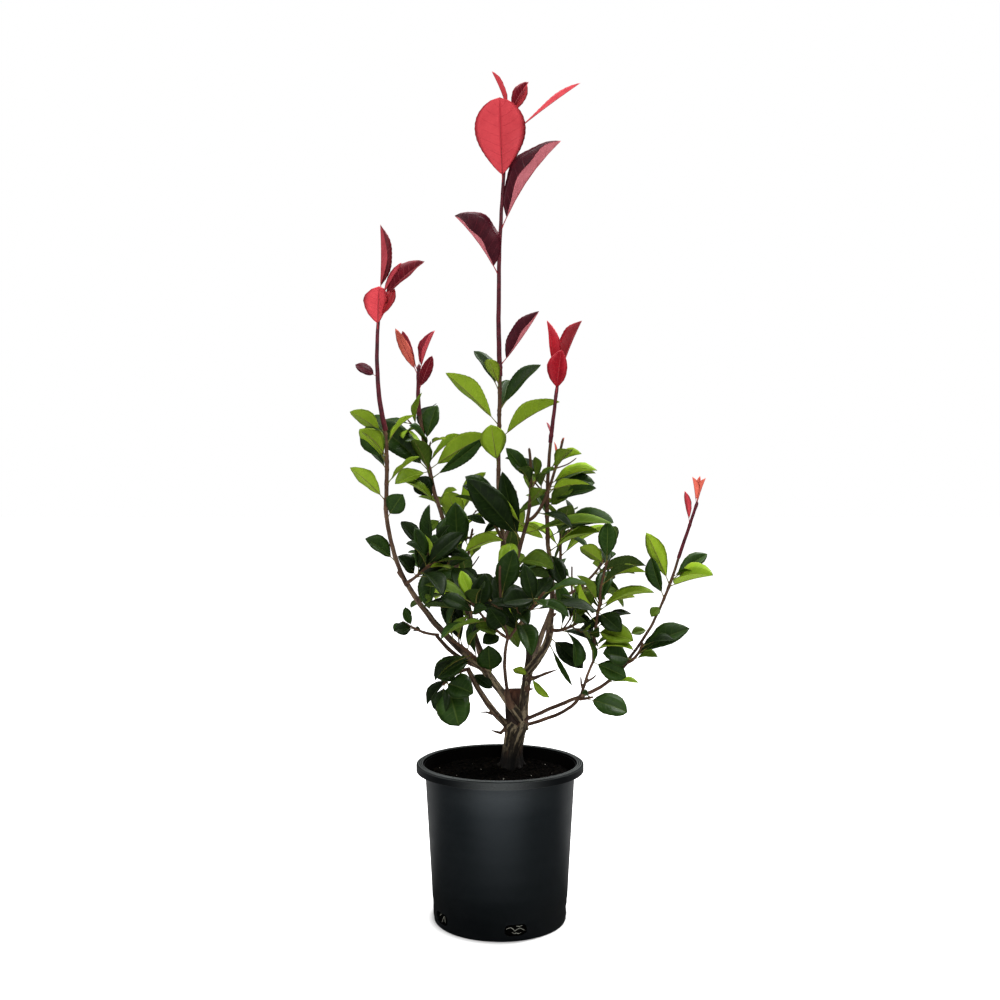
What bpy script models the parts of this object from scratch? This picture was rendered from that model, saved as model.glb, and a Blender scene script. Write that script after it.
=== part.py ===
"""A young potted shrub with red new tips, as separate solids.

Metres, +Z up. The origin is the centre of the pot's flat underside, and the plant is seen from -Y with +X
to the right. A pruned trunk stands in a round nursery pot of potting mix. Boughs run from fork to fork, and
each leafy shoot grows from a bough's tip by one seeded rule: its leaves turn round the stem by a fixed
angle. A leaf that would touch wood, another leaf or the pot is turned aside, then shortened, then left out.
"""

import math
import random
from typing import NamedTuple

import bmesh
import bpy
from mathutils import Matrix, Vector
from mathutils.bvhtree import BVHTree

MM = 0.001
SEAT_GAP = 0.00045
LEAST_LEFT = 0.5
TRIES = (("EXACT", 0.00001), ("MANIFOLD", 0.00001), ("EXACT", 0.000001), ("MANIFOLD", 0.000001))

# Pot
POT_HEIGHT = 0.185
RIM_RADIUS = 0.100
RIM_FLAT = 0.0085
LIP_DEPTH = 0.0085
NECK_RADIUS = 0.0895
FOOT_RADIUS = 0.0785
WALL = 0.0018
FLOOR = 0.0024
RIDGES = (0.0032, 0.0056)
RIDGE_HEIGHT = 0.0006
FOOT_BAND = 0.027
FOOT_STEP = 0.0006
POT_SIDES = 40
DRAIN_HOLES = 5
DRAIN_FIRST = math.radians(283)
DRAIN_WIDTH = 0.026
DRAIN_HEIGHT = 0.013
DRAIN_LIFT = 0.0065

# Potting mix
SOIL_LEVEL = 0.172
SOIL_CLEAR = 0.0003

# Trunk and its pruned top
TRUNK_FOOT = (15, 30, 172.3)
TRUNK_TOP = (20, 22, 227)
TRUNK_RADII = (13.2, 12.2, 12.0, 12.6, 14.2)
FLARE = 4.2
FLARE_FALL = 9.0
FLARE_LOBES = 5
STUMP_FOOT = (18.6, 25, 225)
STUMP_TOP = (17, 30, 268)
STUMP_RADII = (11.6, 11.2)
TRUNK_SIDES = 14
ROOTS = {"right_stem": 9, "left_limb": 9, "far_left_stub": 8, "right_low_stem": 7, "right_low_under": 7}

# Growth rule
DIVERGENCE = 137.5
AZIMUTH_SPREAD = 14.0
LIFT_SPREAD = 9.0
ROLL_SPREAD = 20.0
SIZE_SPREAD = (0.86, 1.12)
BEND_RANGE = (16.0, 50.0)
FOLD_RANGE = (10.0, 28.0)
WIDTH_SHARE = (0.44, 0.52)
FIRST_LEAF = 0.16
LEVELLING = 0.55
PETIOLE_SHARE = 0.11
PETIOLE_RADIUS = 0.95
TURNS = (0, 22, -22, 44, -44, 70, -70)
SHORTENED = (1.0, 0.78)
KEEP_OFF = 0.7
LEAST_SLANT = 0.35
STALK_CLEAR = 2.0
SPACE = 1.25
LOWEST_LEAF = 0.192
NEAREST_ROOT = 5.0
TIP_SINK = 1.5
SMALL_LEAF = 50.0
STEM_SIDES = 4
STEM_ROWS = 4

# Leaf outline
OUTLINE_SKEW = 1.04
OUTLINE_FULLNESS = 0.82
ROWS = (0.2, 0.48, 0.78)
FEW_ROWS = (0.3, 0.7)
THICKNESS_SHARE = 0.017
THINNEST = 1.0

BARK = (0.16, 0.115, 0.078)
CUT_WOOD = (0.12, 0.035, 0.016)
BLACK_PLASTIC = (0.012, 0.014, 0.016)
MIX = (0.012, 0.009, 0.007)
GREEN = (0.035, 0.10, 0.012)
RED = (0.52, 0.045, 0.055)
CORAL, SCARLET, MAROON, ORANGE, LIGHT, DARK = range(6)


class Limb(NamedTuple):
    """A tapering limb: ends in mm, how far its middle stands off the straight line, and its end radii."""

    name: str
    foot: tuple
    tip: tuple
    bow: tuple
    foot_radius: float
    tip_radius: float


class Placed(NamedTuple):
    """A leaf set by hand: where it leaves the stem, stem to leaf tip in mm, and how its blade is turned."""

    along: float
    reach: tuple
    width: float
    facing: tuple
    fold: float
    bend: float
    tint: int


class Shoot(NamedTuple):
    """A leafy shoot: its stem, the number and length of leaves that the rule adds, and the set ones."""

    stem: Limb
    leaves: int
    length: float
    first: float
    lift: tuple
    seed: int
    twigs: int
    colour: tuple
    placed: tuple


class Leaf(NamedTuple):
    """One leaf: its root on the stem's axis, its chord, the upper side's normal, and its sizes in mm."""

    root: Vector
    chord: Vector
    normal: Vector
    length: float
    width: float
    petiole: float
    fold: float
    bend: float
    stem_radius: float
    inside: float
    tint: int


BOUGHS = (
    Limb("right_stem", (29, 14, 230), (34, 8, 293), (-2, -1, 0), 5.5, 5.8),
    Limb("right_bough", (37, 6, 297), (60, -2, 346), (6, 0, 2), 5.3, 4.3),
    Limb("right_bough_upper", (60, -2, 348), (57, -6, 445), (4, 2, 0), 3.3, 2.6),
    Limb("back_right_bough", (38, 16, 297), (72, 95, 373), (-5, -4, -9), 4.0, 2.8),
    Limb("leader_foot", (34, 13, 297), (12, 24, 389), (9, 1, -4), 4.6, 3.6),
    Limb("leader_stem", (12, 24, 392), (4, 24, 449), (-2, 2, -2), 3.4, 3.1),
    Limb("leader_upper", (4, 24, 451), (-2, 22, 526), (-1, 1, 0), 3.0, 2.7),
    Limb("left_limb", (24, 12, 236), (-17, -2, 294), (0, -1, 1), 5.4, 4.8),
    Limb("left_limb_middle", (-19, -3, 297), (-108, -36, 401), (-6, -2, -3), 4.6, 3.0),
    Limb("left_limb_upper", (-110, -37, 403), (-132, -48, 490), (-3, -2, -4), 2.9, 2.4),
    Limb("left_under_stem", (-19, 4, 296), (-76, 14, 334), (-4, 2, -4), 3.0, 2.2),
    Limb("back_left_bough", (-15, 6, 297), (-41, 96, 368), (-1, -1, -10), 3.8, 2.8),
    Limb("centre_left_stem", (-14, 1, 298), (-54, 32, 422), (-5, 2, 0), 3.4, 2.9),
    Limb("centre_left_upper", (-55, 32, 424), (-79, 38, 503), (1, 1, -2), 2.8, 2.5),
    Limb("far_left_stub", (9, 24, 224), (-38, 4, 295), (-2, -2, -4), 4.4, 3.0),
    Limb("centre_front_twig", (12, 4, 256), (9, -62, 341), (-5, 6, 4), 2.4, 1.8),
    Limb("centre_right_stem", (13, 20, 392), (32, -26, 473), (-2, -1, -2), 2.8, 2.3),
    Limb("right_low_stem", (30, 13, 233), (95, -16, 266), (4, 2, 2), 2.5, 2.2),
    Limb("right_low_under", (30, 18, 226), (93, -10, 262), (10, 2, -2), 2.4, 2.0),
    Limb("far_right_low", (97, -17, 268), (150, -30, 310), (2, 0, -5), 2.3, 1.9),
    Limb("far_right_upper", (151, -30, 313), (189, -34, 378), (3, -1, 0), 1.9, 1.6),
    Limb("right_mid_twig", (96, -18, 268), (109, -34, 311), (-1, 2, -1), 2.0, 1.7),
)

SHOOTS = (
    Shoot(Limb("leader_green", (-2, 22, 528), (0, 20, 651), (0, 3, 0), 2.6, 2.3),
          3, 50, 300, (50, 30), 49, 0, GREEN, (
        Placed(0.50, (-66, -6, 63), 34, (50, 30), 22, 14, LIGHT),
        Placed(0.36, (75, -12, 43), 34, (140, 60), 34, 24, LIGHT),
        Placed(0.06, (-9, -16, 54), 34, (90, -6), 12, 16, LIGHT),
        Placed(0.83, (-33, 6, 50), 26, (310, 25), 20, 22, DARK),
        Placed(0.65, (52, 4, 55), 30, (230, 20), 22, 24, DARK))),
    Shoot(Limb("leader_red_tip", (0, 20, 653), (11, 12, 968), (-6, 2, -8), 2.3, 1.3),
          0, 0, 0, (0, 0), 1, 0, RED, (
        Placed(0.77, (-9, -16, 90), 60, (95, -8), 8, 18, CORAL),
        Placed(1.00, (-22, -4, 49), 20, (10, 10), 45, 10, SCARLET),
        Placed(0.99, (24, 4, 39), 20, (250, 20), 50, 12, SCARLET),
        Placed(0.98, (15, -10, 40), 14, (60, 10), 50, 10, MAROON),
        Placed(0.91, (91, 10, 70), 30, (110, 40), 48, 14, CORAL),
        Placed(0.57, (70, -14, 104), 48, (205, 14), 42, 22, MAROON),
        Placed(0.40, (-54, -10, 70), 40, (330, 30), 24, 26, MAROON),
        Placed(0.03, (45, -10, 71), 32, (215, 16), 38, 16, SCARLET))),
    Shoot(Limb("left_green", (-132, -48, 492), (-133, -46, 580), (2, -3, 2), 2.5, 2.2),
          5, 46, 340, (52, 32), 120, 0, GREEN, (
        Placed(0.02, (-39, -10, 44), 30, (60, 20), 20, 20, LIGHT),
        Placed(0.56, (-30, -16, 36), 28, (70, 15), 18, 18, LIGHT),
        Placed(0.97, (-41, -6, 29), 22, (60, 30), 26, 22, LIGHT),
        Placed(0.02, (22, -10, 21), 30, (300, 30), 14, 20, DARK))),
    Shoot(Limb("left_red_tip", (-133, -46, 582), (-139, -38, 739), (-6, -4, -10), 2.2, 1.3),
          0, 0, 0, (0, 0), 3, 0, RED, (
        Placed(0.76, (6, -20, 45), 40, (100, -25), 16, 30, CORAL),
        Placed(0.98, (-1, 2, 85), 26, (20, 5), 48, 8, SCARLET),
        Placed(0.96, (50, 6, 46), 28, (150, 40), 46, 12, MAROON),
        Placed(0.97, (28, -10, 49), 14, (110, 20), 46, 10, ORANGE),
        Placed(0.41, (-23, 0, 15), 10, (300, 50), 20, 20, DARK))),
    Shoot(Limb("centre_left_green", (-80, 38, 505), (-99, 42, 604), (-2, 2, 2), 2.6, 2.3),
          7, 56, 240, (52, 32), 121, 0, GREEN, (
        Placed(0.28, (-71, -20, 64), 36, (300, 35), 18, 24, DARK),
        Placed(0.35, (73, -10, 35), 34, (80, 35), 24, 34, LIGHT),
        Placed(0.59, (16, 6, 51), 30, (240, 10), 14, 14, DARK))),
    Shoot(Limb("centre_left_red_tip", (-100, 42, 606), (-100, 40, 664), (-1, 1, -3), 2.2, 1.5),
          0, 0, 0, (0, 0), 5, 0, RED, (
        Placed(0.82, (-27, -8, 61), 28, (60, 20), 36, 12, CORAL),
        Placed(0.86, (21, 4, 54), 28, (150, 10), 42, 12, SCARLET),
        Placed(0.59, (14, -12, 35), 24, (100, 0), 24, 18, SCARLET),
        Placed(1.00, (1, 2, 33), 12, (80, 10), 46, 10, ORANGE))),
    Shoot(Limb("right_upper", (57, -6, 448), (60, -14, 568), (-2, 0, 3), 2.6, 1.9),
          8, 58, 100, (52, 32), 94, 0, GREEN, (
        Placed(0.03, (78, -30, 21), 36, (290, 68), 26, 58, DARK),
        Placed(0.60, (60, 10, 7), 30, (250, 70), 28, 40, DARK))),
    Shoot(Limb("right_red_tip", (60, -14, 570), (69, -10, 644), (0, -2, -1), 1.8, 1.3),
          0, 0, 0, (0, 0), 7, 0, RED, (
        Placed(0.81, (-11, 2, 83), 24, (30, 8), 42, 10, SCARLET),
        Placed(0.97, (28, 6, 72), 24, (150, 15), 44, 12, SCARLET),
        Placed(0.85, (7, -14, 40), 26, (95, 0), 18, 20, CORAL),
        Placed(0.03, (-6, -4, 16), 9, (40, 10), 30, 10, ORANGE))),
    Shoot(Limb("centre_right_up", (32, -28, 476), (34, -44, 557), (3, 2, -2), 2.2, 1.6),
          7, 46, 320, (50, 30), 144, 0, GREEN, ()),
    Shoot(Limb("centre_right_out", (35, -28, 476), (72, -60, 568), (0, -2, -18), 2.2, 1.5),
          8, 46, 320, (50, 30), 47, 0, GREEN, (
        Placed(0.96, (-2, 2, 17), 9, (40, 5), 44, 10, ORANGE),
        Placed(0.97, (7, -3, 14), 9, (130, 5), 44, 10, ORANGE))),
    Shoot(Limb("far_right_green", (190, -34, 380), (208, -36, 431), (0, -1, -2), 1.7, 1.6),
          1, 26, 0, (50, 36), 181, 0, GREEN, (
        Placed(0.39, (46, -14, 14), 34, (95, 10), 12, 20, LIGHT),
        Placed(0.43, (-28, -4, 65), 24, (70, 10), 30, 16, LIGHT),
        Placed(0.07, (-14, 6, 48), 24, (230, 10), 22, 16, DARK),
        Placed(0.52, (45, 14, 30), 22, (250, 30), 20, 20, DARK))),
    Shoot(Limb("far_right_red_tip", (209, -36, 434), (230, -34, 495), (0, -1, 0), 1.6, 1.2),
          0, 0, 0, (0, 0), 11, 0, RED, (
        Placed(0.97, (-6, -4, 33), 14, (40, 5), 44, 10, ORANGE),
        Placed(0.99, (5, 4, 34), 13, (90, 5), 46, 10, ORANGE),
        Placed(0.93, (12, -2, 34), 14, (140, 10), 44, 10, ORANGE),
        Placed(0.58, (-7, -6, 40), 12, (60, 5), 36, 12, SCARLET))),
    Shoot(Limb("far_right_low_leaves", (152, -32, 310), (164, -52, 333), (1, 0, -2), 1.7, 1.3),
          3, 40, 60, (50, 36), 126, 0, GREEN, (
        Placed(0.49, (60, -14, 31), 32, (285, 45), 18, 28, DARK),
        Placed(0.04, (-37, -20, 10), 32, (270, 30), 12, 20, DARK))),
    Shoot(Limb("right_mid_leaves", (109, -35, 313), (116, -42, 381), (-2, 0, -2), 1.7, 1.5),
          8, 46, 340, (52, 34), 78, 0, GREEN, (
        Placed(0.84, (65, -16, 20), 28, (280, 70), 28, 44, LIGHT),)),
    Shoot(Limb("right_mid_tip", (116, -42, 383), (124, -46, 427), (-2, -1, -1), 1.5, 1.3),
          2, 40, 320, (50, 36), 100, 0, GREEN, (
        Placed(1.00, (1, -4, 49), 24, (265, 5), 16, 20, DARK),
        Placed(0.91, (-31, -8, 22), 24, (60, 20), 18, 18, LIGHT),
        Placed(0.95, (48, -10, -3), 24, (80, 60), 26, 34, LIGHT))),
    Shoot(Limb("low_right_leaf", (97, -20, 264), (108, -30, 268), (0, 0, 0), 1.7, 1.3),
          1, 18, 180, (50, 36), 52, 0, GREEN, (
        Placed(0.58, (46, -12, -15), 28, (280, 50), 14, 24, DARK),)),
    Shoot(Limb("right_inner", (63, -6, 344), (91, -40, 357), (-2, 1, -4), 2.2, 1.5),
          6, 50, 340, (52, 34), 81, 0, GREEN, ()),
    Shoot(Limb("front_centre", (9, -64, 343), (0, -112, 425), (-3, 2, -5), 1.7, 1.4),
          9, 58, 100, (52, 32), 82, 0, GREEN, ()),
    Shoot(Limb("front_right", (11, -63, 342), (48, -104, 396), (-2, 3, -2), 1.6, 1.3),
          8, 56, 140, (52, 32), 174, 0, GREEN, ()),
    Shoot(Limb("front_left", (7, -63, 342), (-32, -98, 386), (0, 2, -4), 1.6, 1.3),
          8, 56, 220, (52, 32), 91, 0, GREEN, ()),
    Shoot(Limb("centre_left_low", (-56, 29, 421), (-90, -4, 437), (2, 0, -5), 2.2, 1.5),
          7, 56, 0, (52, 34), 43, 0, GREEN, (
        Placed(0.26, (-42, -14, 23), 28, (80, 50), 26, 30, LIGHT),)),
    Shoot(Limb("centre_left_mid", (-53, 34, 423), (-48, 66, 486), (3, -2, -3), 2.2, 1.5),
          6, 58, 340, (52, 32), 170, 0, GREEN, (
        Placed(0.05, (3, -10, 73), 32, (275, 5), 14, 16, DARK),
        Placed(0.12, (53, -50, 26), 28, (90, 50), 26, 44, LIGHT))),
    Shoot(Limb("left_mid", (-108, -40, 403), (-82, -66, 424), (-2, 2, -3), 2.0, 1.4),
          7, 50, 80, (52, 34), 101, 0, GREEN, ()),
    Shoot(Limb("fork_sprout", (34, 3, 289), (37, -7, 285), (0, 0, 1), 1.4, 1.1),
          0, 0, 0, (0, 0), 24, 0, GREEN, (
        Placed(0.80, (20, -8, -22), 11, (200, 30), 30, 20, LIGHT),
        Placed(0.90, (-20, -4, 6), 12, (90, 50), 14, 20, LIGHT))),
    Shoot(Limb("left_low_small", (-77, 14, 336), (-117, 22, 350), (0, 0, -3), 1.8, 1.2),
          2, 20, 100, (50, 36), 109, 0, GREEN, (
        Placed(1.00, (-13, -4, -10), 15, (280, 50), 14, 20, DARK),
        Placed(0.89, (-3, -4, 22), 12, (300, 30), 20, 20, DARK))),
    Shoot(Limb("left_inner", (-18, -5, 296), (-56, -40, 336), (0, 1, 4), 2.2, 1.5),
          6, 52, 80, (52, 34), 124, 0, GREEN, (
        Placed(0.32, (-43, -14, -23), 32, (285, 50), 16, 30, DARK),)),
    Shoot(Limb("far_left_low", (-39, 2, 296), (-66, -26, 283), (0, 1, 3), 2.2, 1.5),
          4, 44, 320, (52, 34), 195, 0, GREEN, (
        Placed(0.18, (-35, -16, -5), 34, (280, 35), 14, 24, DARK),
        Placed(0.87, (18, -20, -54), 30, (330, 10), 26, 34, DARK))),
    Shoot(Limb("leader_side_left", (3, 21, 450), (-19, -24, 501), (-1, -2, 0), 2.2, 1.5),
          6, 56, 40, (52, 34), 35, 0, GREEN, (
        Placed(0.50, (-35, -18, 50), 40, (290, 50), 14, 34, DARK),)),
    Shoot(Limb("leader_side_back", (5, 27, 450), (20, 76, 509), (2, -1, -2), 2.2, 1.5),
          8, 60, 40, (52, 32), 183, 0, GREEN, ()),
    Shoot(Limb("back_right_up", (72, 97, 375), (78, 112, 473), (3, 5, -4), 2.4, 1.6),
          8, 60, 320, (52, 32), 128, 1, GREEN, ()),
    Shoot(Limb("back_right_out", (73, 96, 374), (136, 126, 420), (1, 1, -10), 2.2, 1.5),
          8, 56, 0, (52, 32), 45, 1, GREEN, ()),
    Shoot(Limb("back_left_up", (-41, 97, 370), (-36, 118, 460), (-4, 4, -4), 2.4, 1.6),
          8, 60, 260, (52, 32), 165, 1, GREEN, ()),
    Shoot(Limb("back_left_out", (-43, 97, 369), (-99, 124, 407), (2, 2, -8), 2.2, 1.5),
          8, 56, 220, (52, 32), 131, 1, GREEN, ()),
    Shoot(Limb("back_middle", (-39, 98, 370), (16, 146, 406), (-2, 3, -4), 2.0, 1.5),
          8, 58, 260, (52, 32), 153, 1, GREEN, ()),
)


def point_on(limb, along):
    """The point of a limb's curve at a share of its length, in mm. A share below 0 runs back from the foot."""
    foot = Vector(limb.foot)
    tip = Vector(limb.tip)
    middle = (foot + tip) / 2 + 2 * Vector(limb.bow)
    if along < 0:
        return foot + (middle - foot) * 2 * along
    return foot * (1 - along) ** 2 + middle * 2 * along * (1 - along) + tip * along**2


def heading_on(limb, along):
    """The direction of a limb's curve at a share of its length."""
    foot = Vector(limb.foot)
    tip = Vector(limb.tip)
    middle = (foot + tip) / 2 + 2 * Vector(limb.bow)
    along = max(along, 0.0)
    return ((middle - foot) * (1 - along) + (tip - middle) * along).normalized()


def radius_on(limb, along):
    """The radius of a limb at a share of its length, in mm."""
    return limb.foot_radius + (limb.tip_radius - limb.foot_radius) * max(along, 0.0)


def across(axis):
    """Two directions at right angles to an axis: the first lies as near +X as it can, or +Z on a level axis."""
    aim = Vector((1, 0, 0)) if abs(axis.x) < 0.85 else Vector((0, 0, 1))
    first = (aim - axis * aim.dot(axis)).normalized()
    return first, axis.cross(first)


def ring(centre, axis, radius, sides, wave=None):
    """A ring of points round an axis, in mm. wave gives the radius's factor at each angle."""
    first, second = across(axis)
    points = []
    for k in range(sides):
        angle = 2 * math.pi * k / sides
        size = radius * (wave(angle) if wave else 1.0)
        points.append(centre + (first * math.cos(angle) + second * math.sin(angle)) * size)
    return points


def skin(rings):
    """Points and faces of a closed skin over rings that all have the same number of points."""
    sides = len(rings[0])
    points = [point for row in rings for point in row]
    faces = []
    for row in range(len(rings) - 1):
        for k in range(sides):
            near = row * sides
            far = near + sides
            after = (k + 1) % sides
            faces.append((near + k, near + after, far + after, far + k))
    faces.append(tuple(reversed(range(sides))))
    last = (len(rings) - 1) * sides
    faces.append(tuple(last + k for k in range(sides)))
    return points, faces


def tube(limb, sides, rows, root, spare=0.0):
    """Points and faces of a limb, which begins root mm behind its foot, inside what carries it.

    spare is added all round and at the tip.
    """
    span = (Vector(limb.tip) - Vector(limb.foot)).length
    shares = [-root / span] + [k / rows for k in range(rows + 1)]
    rings = []
    for share in shares:
        axis = heading_on(limb, share)
        centre = point_on(limb, share) + axis * (spare if share == 1 else 0)
        rings.append(ring(centre, axis, radius_on(limb, share) + spare, sides))
    return skin(rings)


def half_width(leaf, along):
    """Half the blade's width at a share of its length."""
    return leaf.width / 2 * math.sin(math.pi * along**OUTLINE_SKEW) ** OUTLINE_FULLNESS


def blade_frame(leaf):
    """Where the blade begins, and the directions along its chord and up from its upper side."""
    half = math.radians(leaf.bend) / 2
    start = leaf.chord * math.cos(half) + leaf.normal * math.sin(half)
    base = leaf.root + start * (leaf.inside + leaf.petiole)
    return base, start


def midrib(leaf, along):
    """The point of the midrib at a share of the blade, and the upper side's normal there."""
    base, _ = blade_frame(leaf)
    turn = math.radians(leaf.bend)
    angle = turn * (along - 0.5)
    forward = (math.sin(angle) + math.sin(turn / 2)) / (2 * math.sin(turn / 2))
    up = (math.cos(angle) - math.cos(turn / 2)) / (2 * math.sin(turn / 2))
    point = base + (leaf.chord * forward + leaf.normal * up) * leaf.length
    return point, leaf.normal * math.cos(angle) + leaf.chord * math.sin(angle)


def leaf_skin(leaf, rows=ROWS, stalk_from=None, spare=0.0):
    """Points and triangles of a leaf: a three-sided stalk, then a folded blade with a raised back.

    stalk_from is how far from the root the stalk begins, in mm, and spare is added all round.
    """
    base, start = blade_frame(leaf)
    side = leaf.chord.cross(leaf.normal)
    thick = max(THICKNESS_SHARE * leaf.length, THINNEST) + 2 * spare
    begin = leaf.root + start * (stalk_from or 0.0)
    up = leaf.normal * math.cos(math.radians(leaf.bend) / 2) - leaf.chord * math.sin(math.radians(leaf.bend) / 2)
    points = []
    for centre, size in ((begin, min(0.55 * leaf.stem_radius, PETIOLE_RADIUS)), (base, PETIOLE_RADIUS)):
        size += spare
        points += [centre + side * size + up * size * 0.6, centre - side * size + up * size * 0.6]
        points.append(centre - up * size)
    tilt = math.radians(leaf.fold)
    for along in rows:
        point, normal = midrib(leaf, along)
        reach = half_width(leaf, along) + spare
        lift = normal * math.sin(tilt) * reach
        top = normal * thick * 0.5
        points += [point + side * math.cos(tilt) * reach + lift, point + top]
        points += [point - side * math.cos(tilt) * reach + lift, point - top]
    points.append(midrib(leaf, 1.0 + spare / leaf.length)[0])
    faces = [(0, 2, 1), (0, 1, 4), (0, 4, 3), (1, 2, 5), (1, 5, 4), (2, 0, 3), (2, 3, 5)]
    faces += [(3, 4, 7), (3, 7, 6), (4, 8, 7), (3, 6, 9), (3, 9, 5), (5, 9, 8), (5, 8, 4)]
    for row in range(len(rows) - 1):
        near = 6 + 4 * row
        for k in range(4):
            after = (k + 1) % 4
            faces.append((near + k, near + after, near + 4 + after))
            faces.append((near + k, near + 4 + after, near + 4 + k))
    last = 6 + 4 * (len(rows) - 1)
    tip = len(points) - 1
    faces += [(last + k, last + (k + 1) % 4, tip) for k in range(4)]
    return points, faces


def stretch_inside(axis, start, radius):
    """How far a stalk runs inside its stem, in mm, from the axis to the bark."""
    return radius / max(axis.cross(start).length, LEAST_SLANT)


def square_to(direction, wanted):
    """The direction nearest to wanted that stands at right angles to another."""
    return (wanted - direction * wanted.dot(direction)).normalized()


def placed_leaf(stem, call):
    """The leaf that a Placed row describes."""
    azimuth, rise = (math.radians(value) for value in call.facing)
    face = Vector((math.cos(azimuth) * math.cos(rise), math.sin(azimuth) * math.cos(rise), math.sin(rise)))
    chord = Vector(call.reach).normalized()
    reach = Vector(call.reach).length
    span = (Vector(stem.tip) - Vector(stem.foot)).length
    along = min(max(call.along, NEAREST_ROOT / span), 1 - TIP_SINK / span)
    radius = radius_on(stem, along)
    petiole = PETIOLE_SHARE * reach
    half = math.radians(call.bend) / 2
    normal = square_to(chord, face)
    inside = stretch_inside(heading_on(stem, along), chord * math.cos(half) + normal * math.sin(half), radius)
    length = reach - (inside + petiole) * math.cos(half)
    return Leaf(point_on(stem, along), chord, normal, length, call.width, petiole, call.fold, call.bend,
                radius, inside, call.tint)


def ruled_leaf(stem, shoot, number, count, seed, turn, shorten):
    """The leaf that the rule sets at one place of a stem, turned aside and shortened as asked.

    Its lift is the angle from the stem at which the stalk leaves it.
    """
    dice = random.Random(seed * 131 + number)
    share = (number + 0.5) / count
    along = FIRST_LEAF + (1 - FIRST_LEAF) * share ** 0.9
    angle = math.radians(shoot.first + DIVERGENCE * number + dice.uniform(-1, 1) * AZIMUTH_SPREAD + turn)
    low, high = shoot.lift
    lift = math.radians(low + (high - low) * share + dice.uniform(-1, 1) * LIFT_SPREAD)
    length = shoot.length * (0.74 + 0.26 * math.sin(math.pi * share)) * dice.uniform(*SIZE_SPREAD) * shorten
    roll = math.radians(dice.uniform(-1, 1) * ROLL_SPREAD)
    bend = dice.uniform(*BEND_RANGE)
    fold = dice.uniform(*FOLD_RANGE)
    width = length * dice.uniform(*WIDTH_SHARE)
    tint = DARK if dice.random() < 0.62 else LIGHT
    axis = heading_on(stem, along)
    first, second = across(axis)
    outward = first * math.cos(angle) + second * math.sin(angle)
    lean = lift + math.radians(bend) / 2
    chord = axis * math.cos(lean) + outward * math.sin(lean)
    up = axis * math.sin(lean) - outward * math.cos(lean) + Vector((0, 0, LEVELLING))
    normal = Matrix.Rotation(roll, 3, chord) @ square_to(chord, up)
    half = math.radians(bend) / 2
    radius = radius_on(stem, along)
    inside = stretch_inside(axis, chord * math.cos(half) + normal * math.sin(half), radius)
    return Leaf(point_on(stem, along), chord, normal, length, width, PETIOLE_SHARE * length, fold, bend,
                radius, inside, tint)


def side_twig(shoot, number):
    """A side twig of a shoot's stem, by the same rule."""
    stem = shoot.stem
    dice = random.Random(shoot.seed * 977 + number)
    along = 0.3 + 0.3 * number
    axis = heading_on(stem, along)
    first, second = across(axis)
    angle = math.radians(shoot.first + 180 + DIVERGENCE * number)
    outward = first * math.cos(angle) + second * math.sin(angle)
    aim = (axis * 0.75 + outward).normalized()
    length = 0.42 * (Vector(stem.tip) - Vector(stem.foot)).length * dice.uniform(0.9, 1.15)
    foot = point_on(stem, along)
    tip = foot + aim * length + Vector((0, 0, 0.12 * length))
    radius = radius_on(stem, along) * 0.72
    return Limb(stem.name + "_twig", tuple(foot), tuple(tip), (0, 0, -0.05 * length), radius, radius * 0.75)


class Crowd:
    """The skins already set, each with its box, so that a new leaf can be tried against those near it."""

    def __init__(self):
        self.items = []

    def add(self, points, faces, owner):
        """Keeps a skin. owner names the shoot or limb that it belongs to."""
        low = Vector([min(point[k] for point in points) for k in range(3)])
        high = Vector([max(point[k] for point in points) for k in range(3)])
        self.items.append((low, high, BVHTree.FromPolygons(points, faces), owner))

    def meets(self, points, faces, leave_out=()):
        """Whether a skin cuts any kept one whose owner isn't left out."""
        low = Vector([min(point[k] for point in points) for k in range(3)])
        high = Vector([max(point[k] for point in points) for k in range(3)])
        tree = None
        for other_low, other_high, other, owner in self.items:
            if owner in leave_out:
                continue
            if any(low[k] > other_high[k] or high[k] < other_low[k] for k in range(3)):
                continue
            tree = tree or BVHTree.FromPolygons(points, faces)
            if tree.overlap(other):
                return True
        return False


def fits(crowd, leaf, leave_out):
    """Whether a leaf stays clear of everything set before it, and above the pot."""
    clear = leaf.inside * (1 + STALK_CLEAR / leaf.stem_radius)
    points, faces = leaf_skin(leaf, ROWS, clear, KEEP_OFF)
    if min(point.z for point in points) < LOWEST_LEAF / MM:
        return False
    return not crowd.meets(points, faces, leave_out)


def first_fit(crowd, stem, shoot, number, count, seed):
    """The first way of setting one leaf of the rule that stays clear, or None."""
    leave_out = (shoot.stem.name,) if number == count - 1 else ()
    for shorten in SHORTENED:
        for turn in TURNS:
            leaf = ruled_leaf(stem, shoot, number, count, seed, turn, shorten)
            if leaf.length + leaf.petiole <= shoot.length * SPACE and fits(crowd, leaf, leave_out):
                return leaf
    return None


def first_crowd(shoots, limbs):
    """A crowd that holds the wood and every shoot's stem and placed leaves, and those leaves by shoot."""
    crowd = Crowd()
    for limb in limbs:
        crowd.add(*tube(limb, 8, 8, 0), limb.name)
    for shoot in shoots:
        crowd.add(*tube(shoot.stem, 6, 8, 0), shoot.stem.name)
    leaves = {}
    for shoot in shoots:
        name = shoot.stem.name
        found = [placed_leaf(shoot.stem, call) for call in shoot.placed]
        leaves[name] = [leaf for leaf in found if fits(crowd, leaf, (name,))]
        for leaf in leaves[name]:
            crowd.add(*leaf_skin(leaf), name + "_leaf")
    return crowd, leaves


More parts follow.
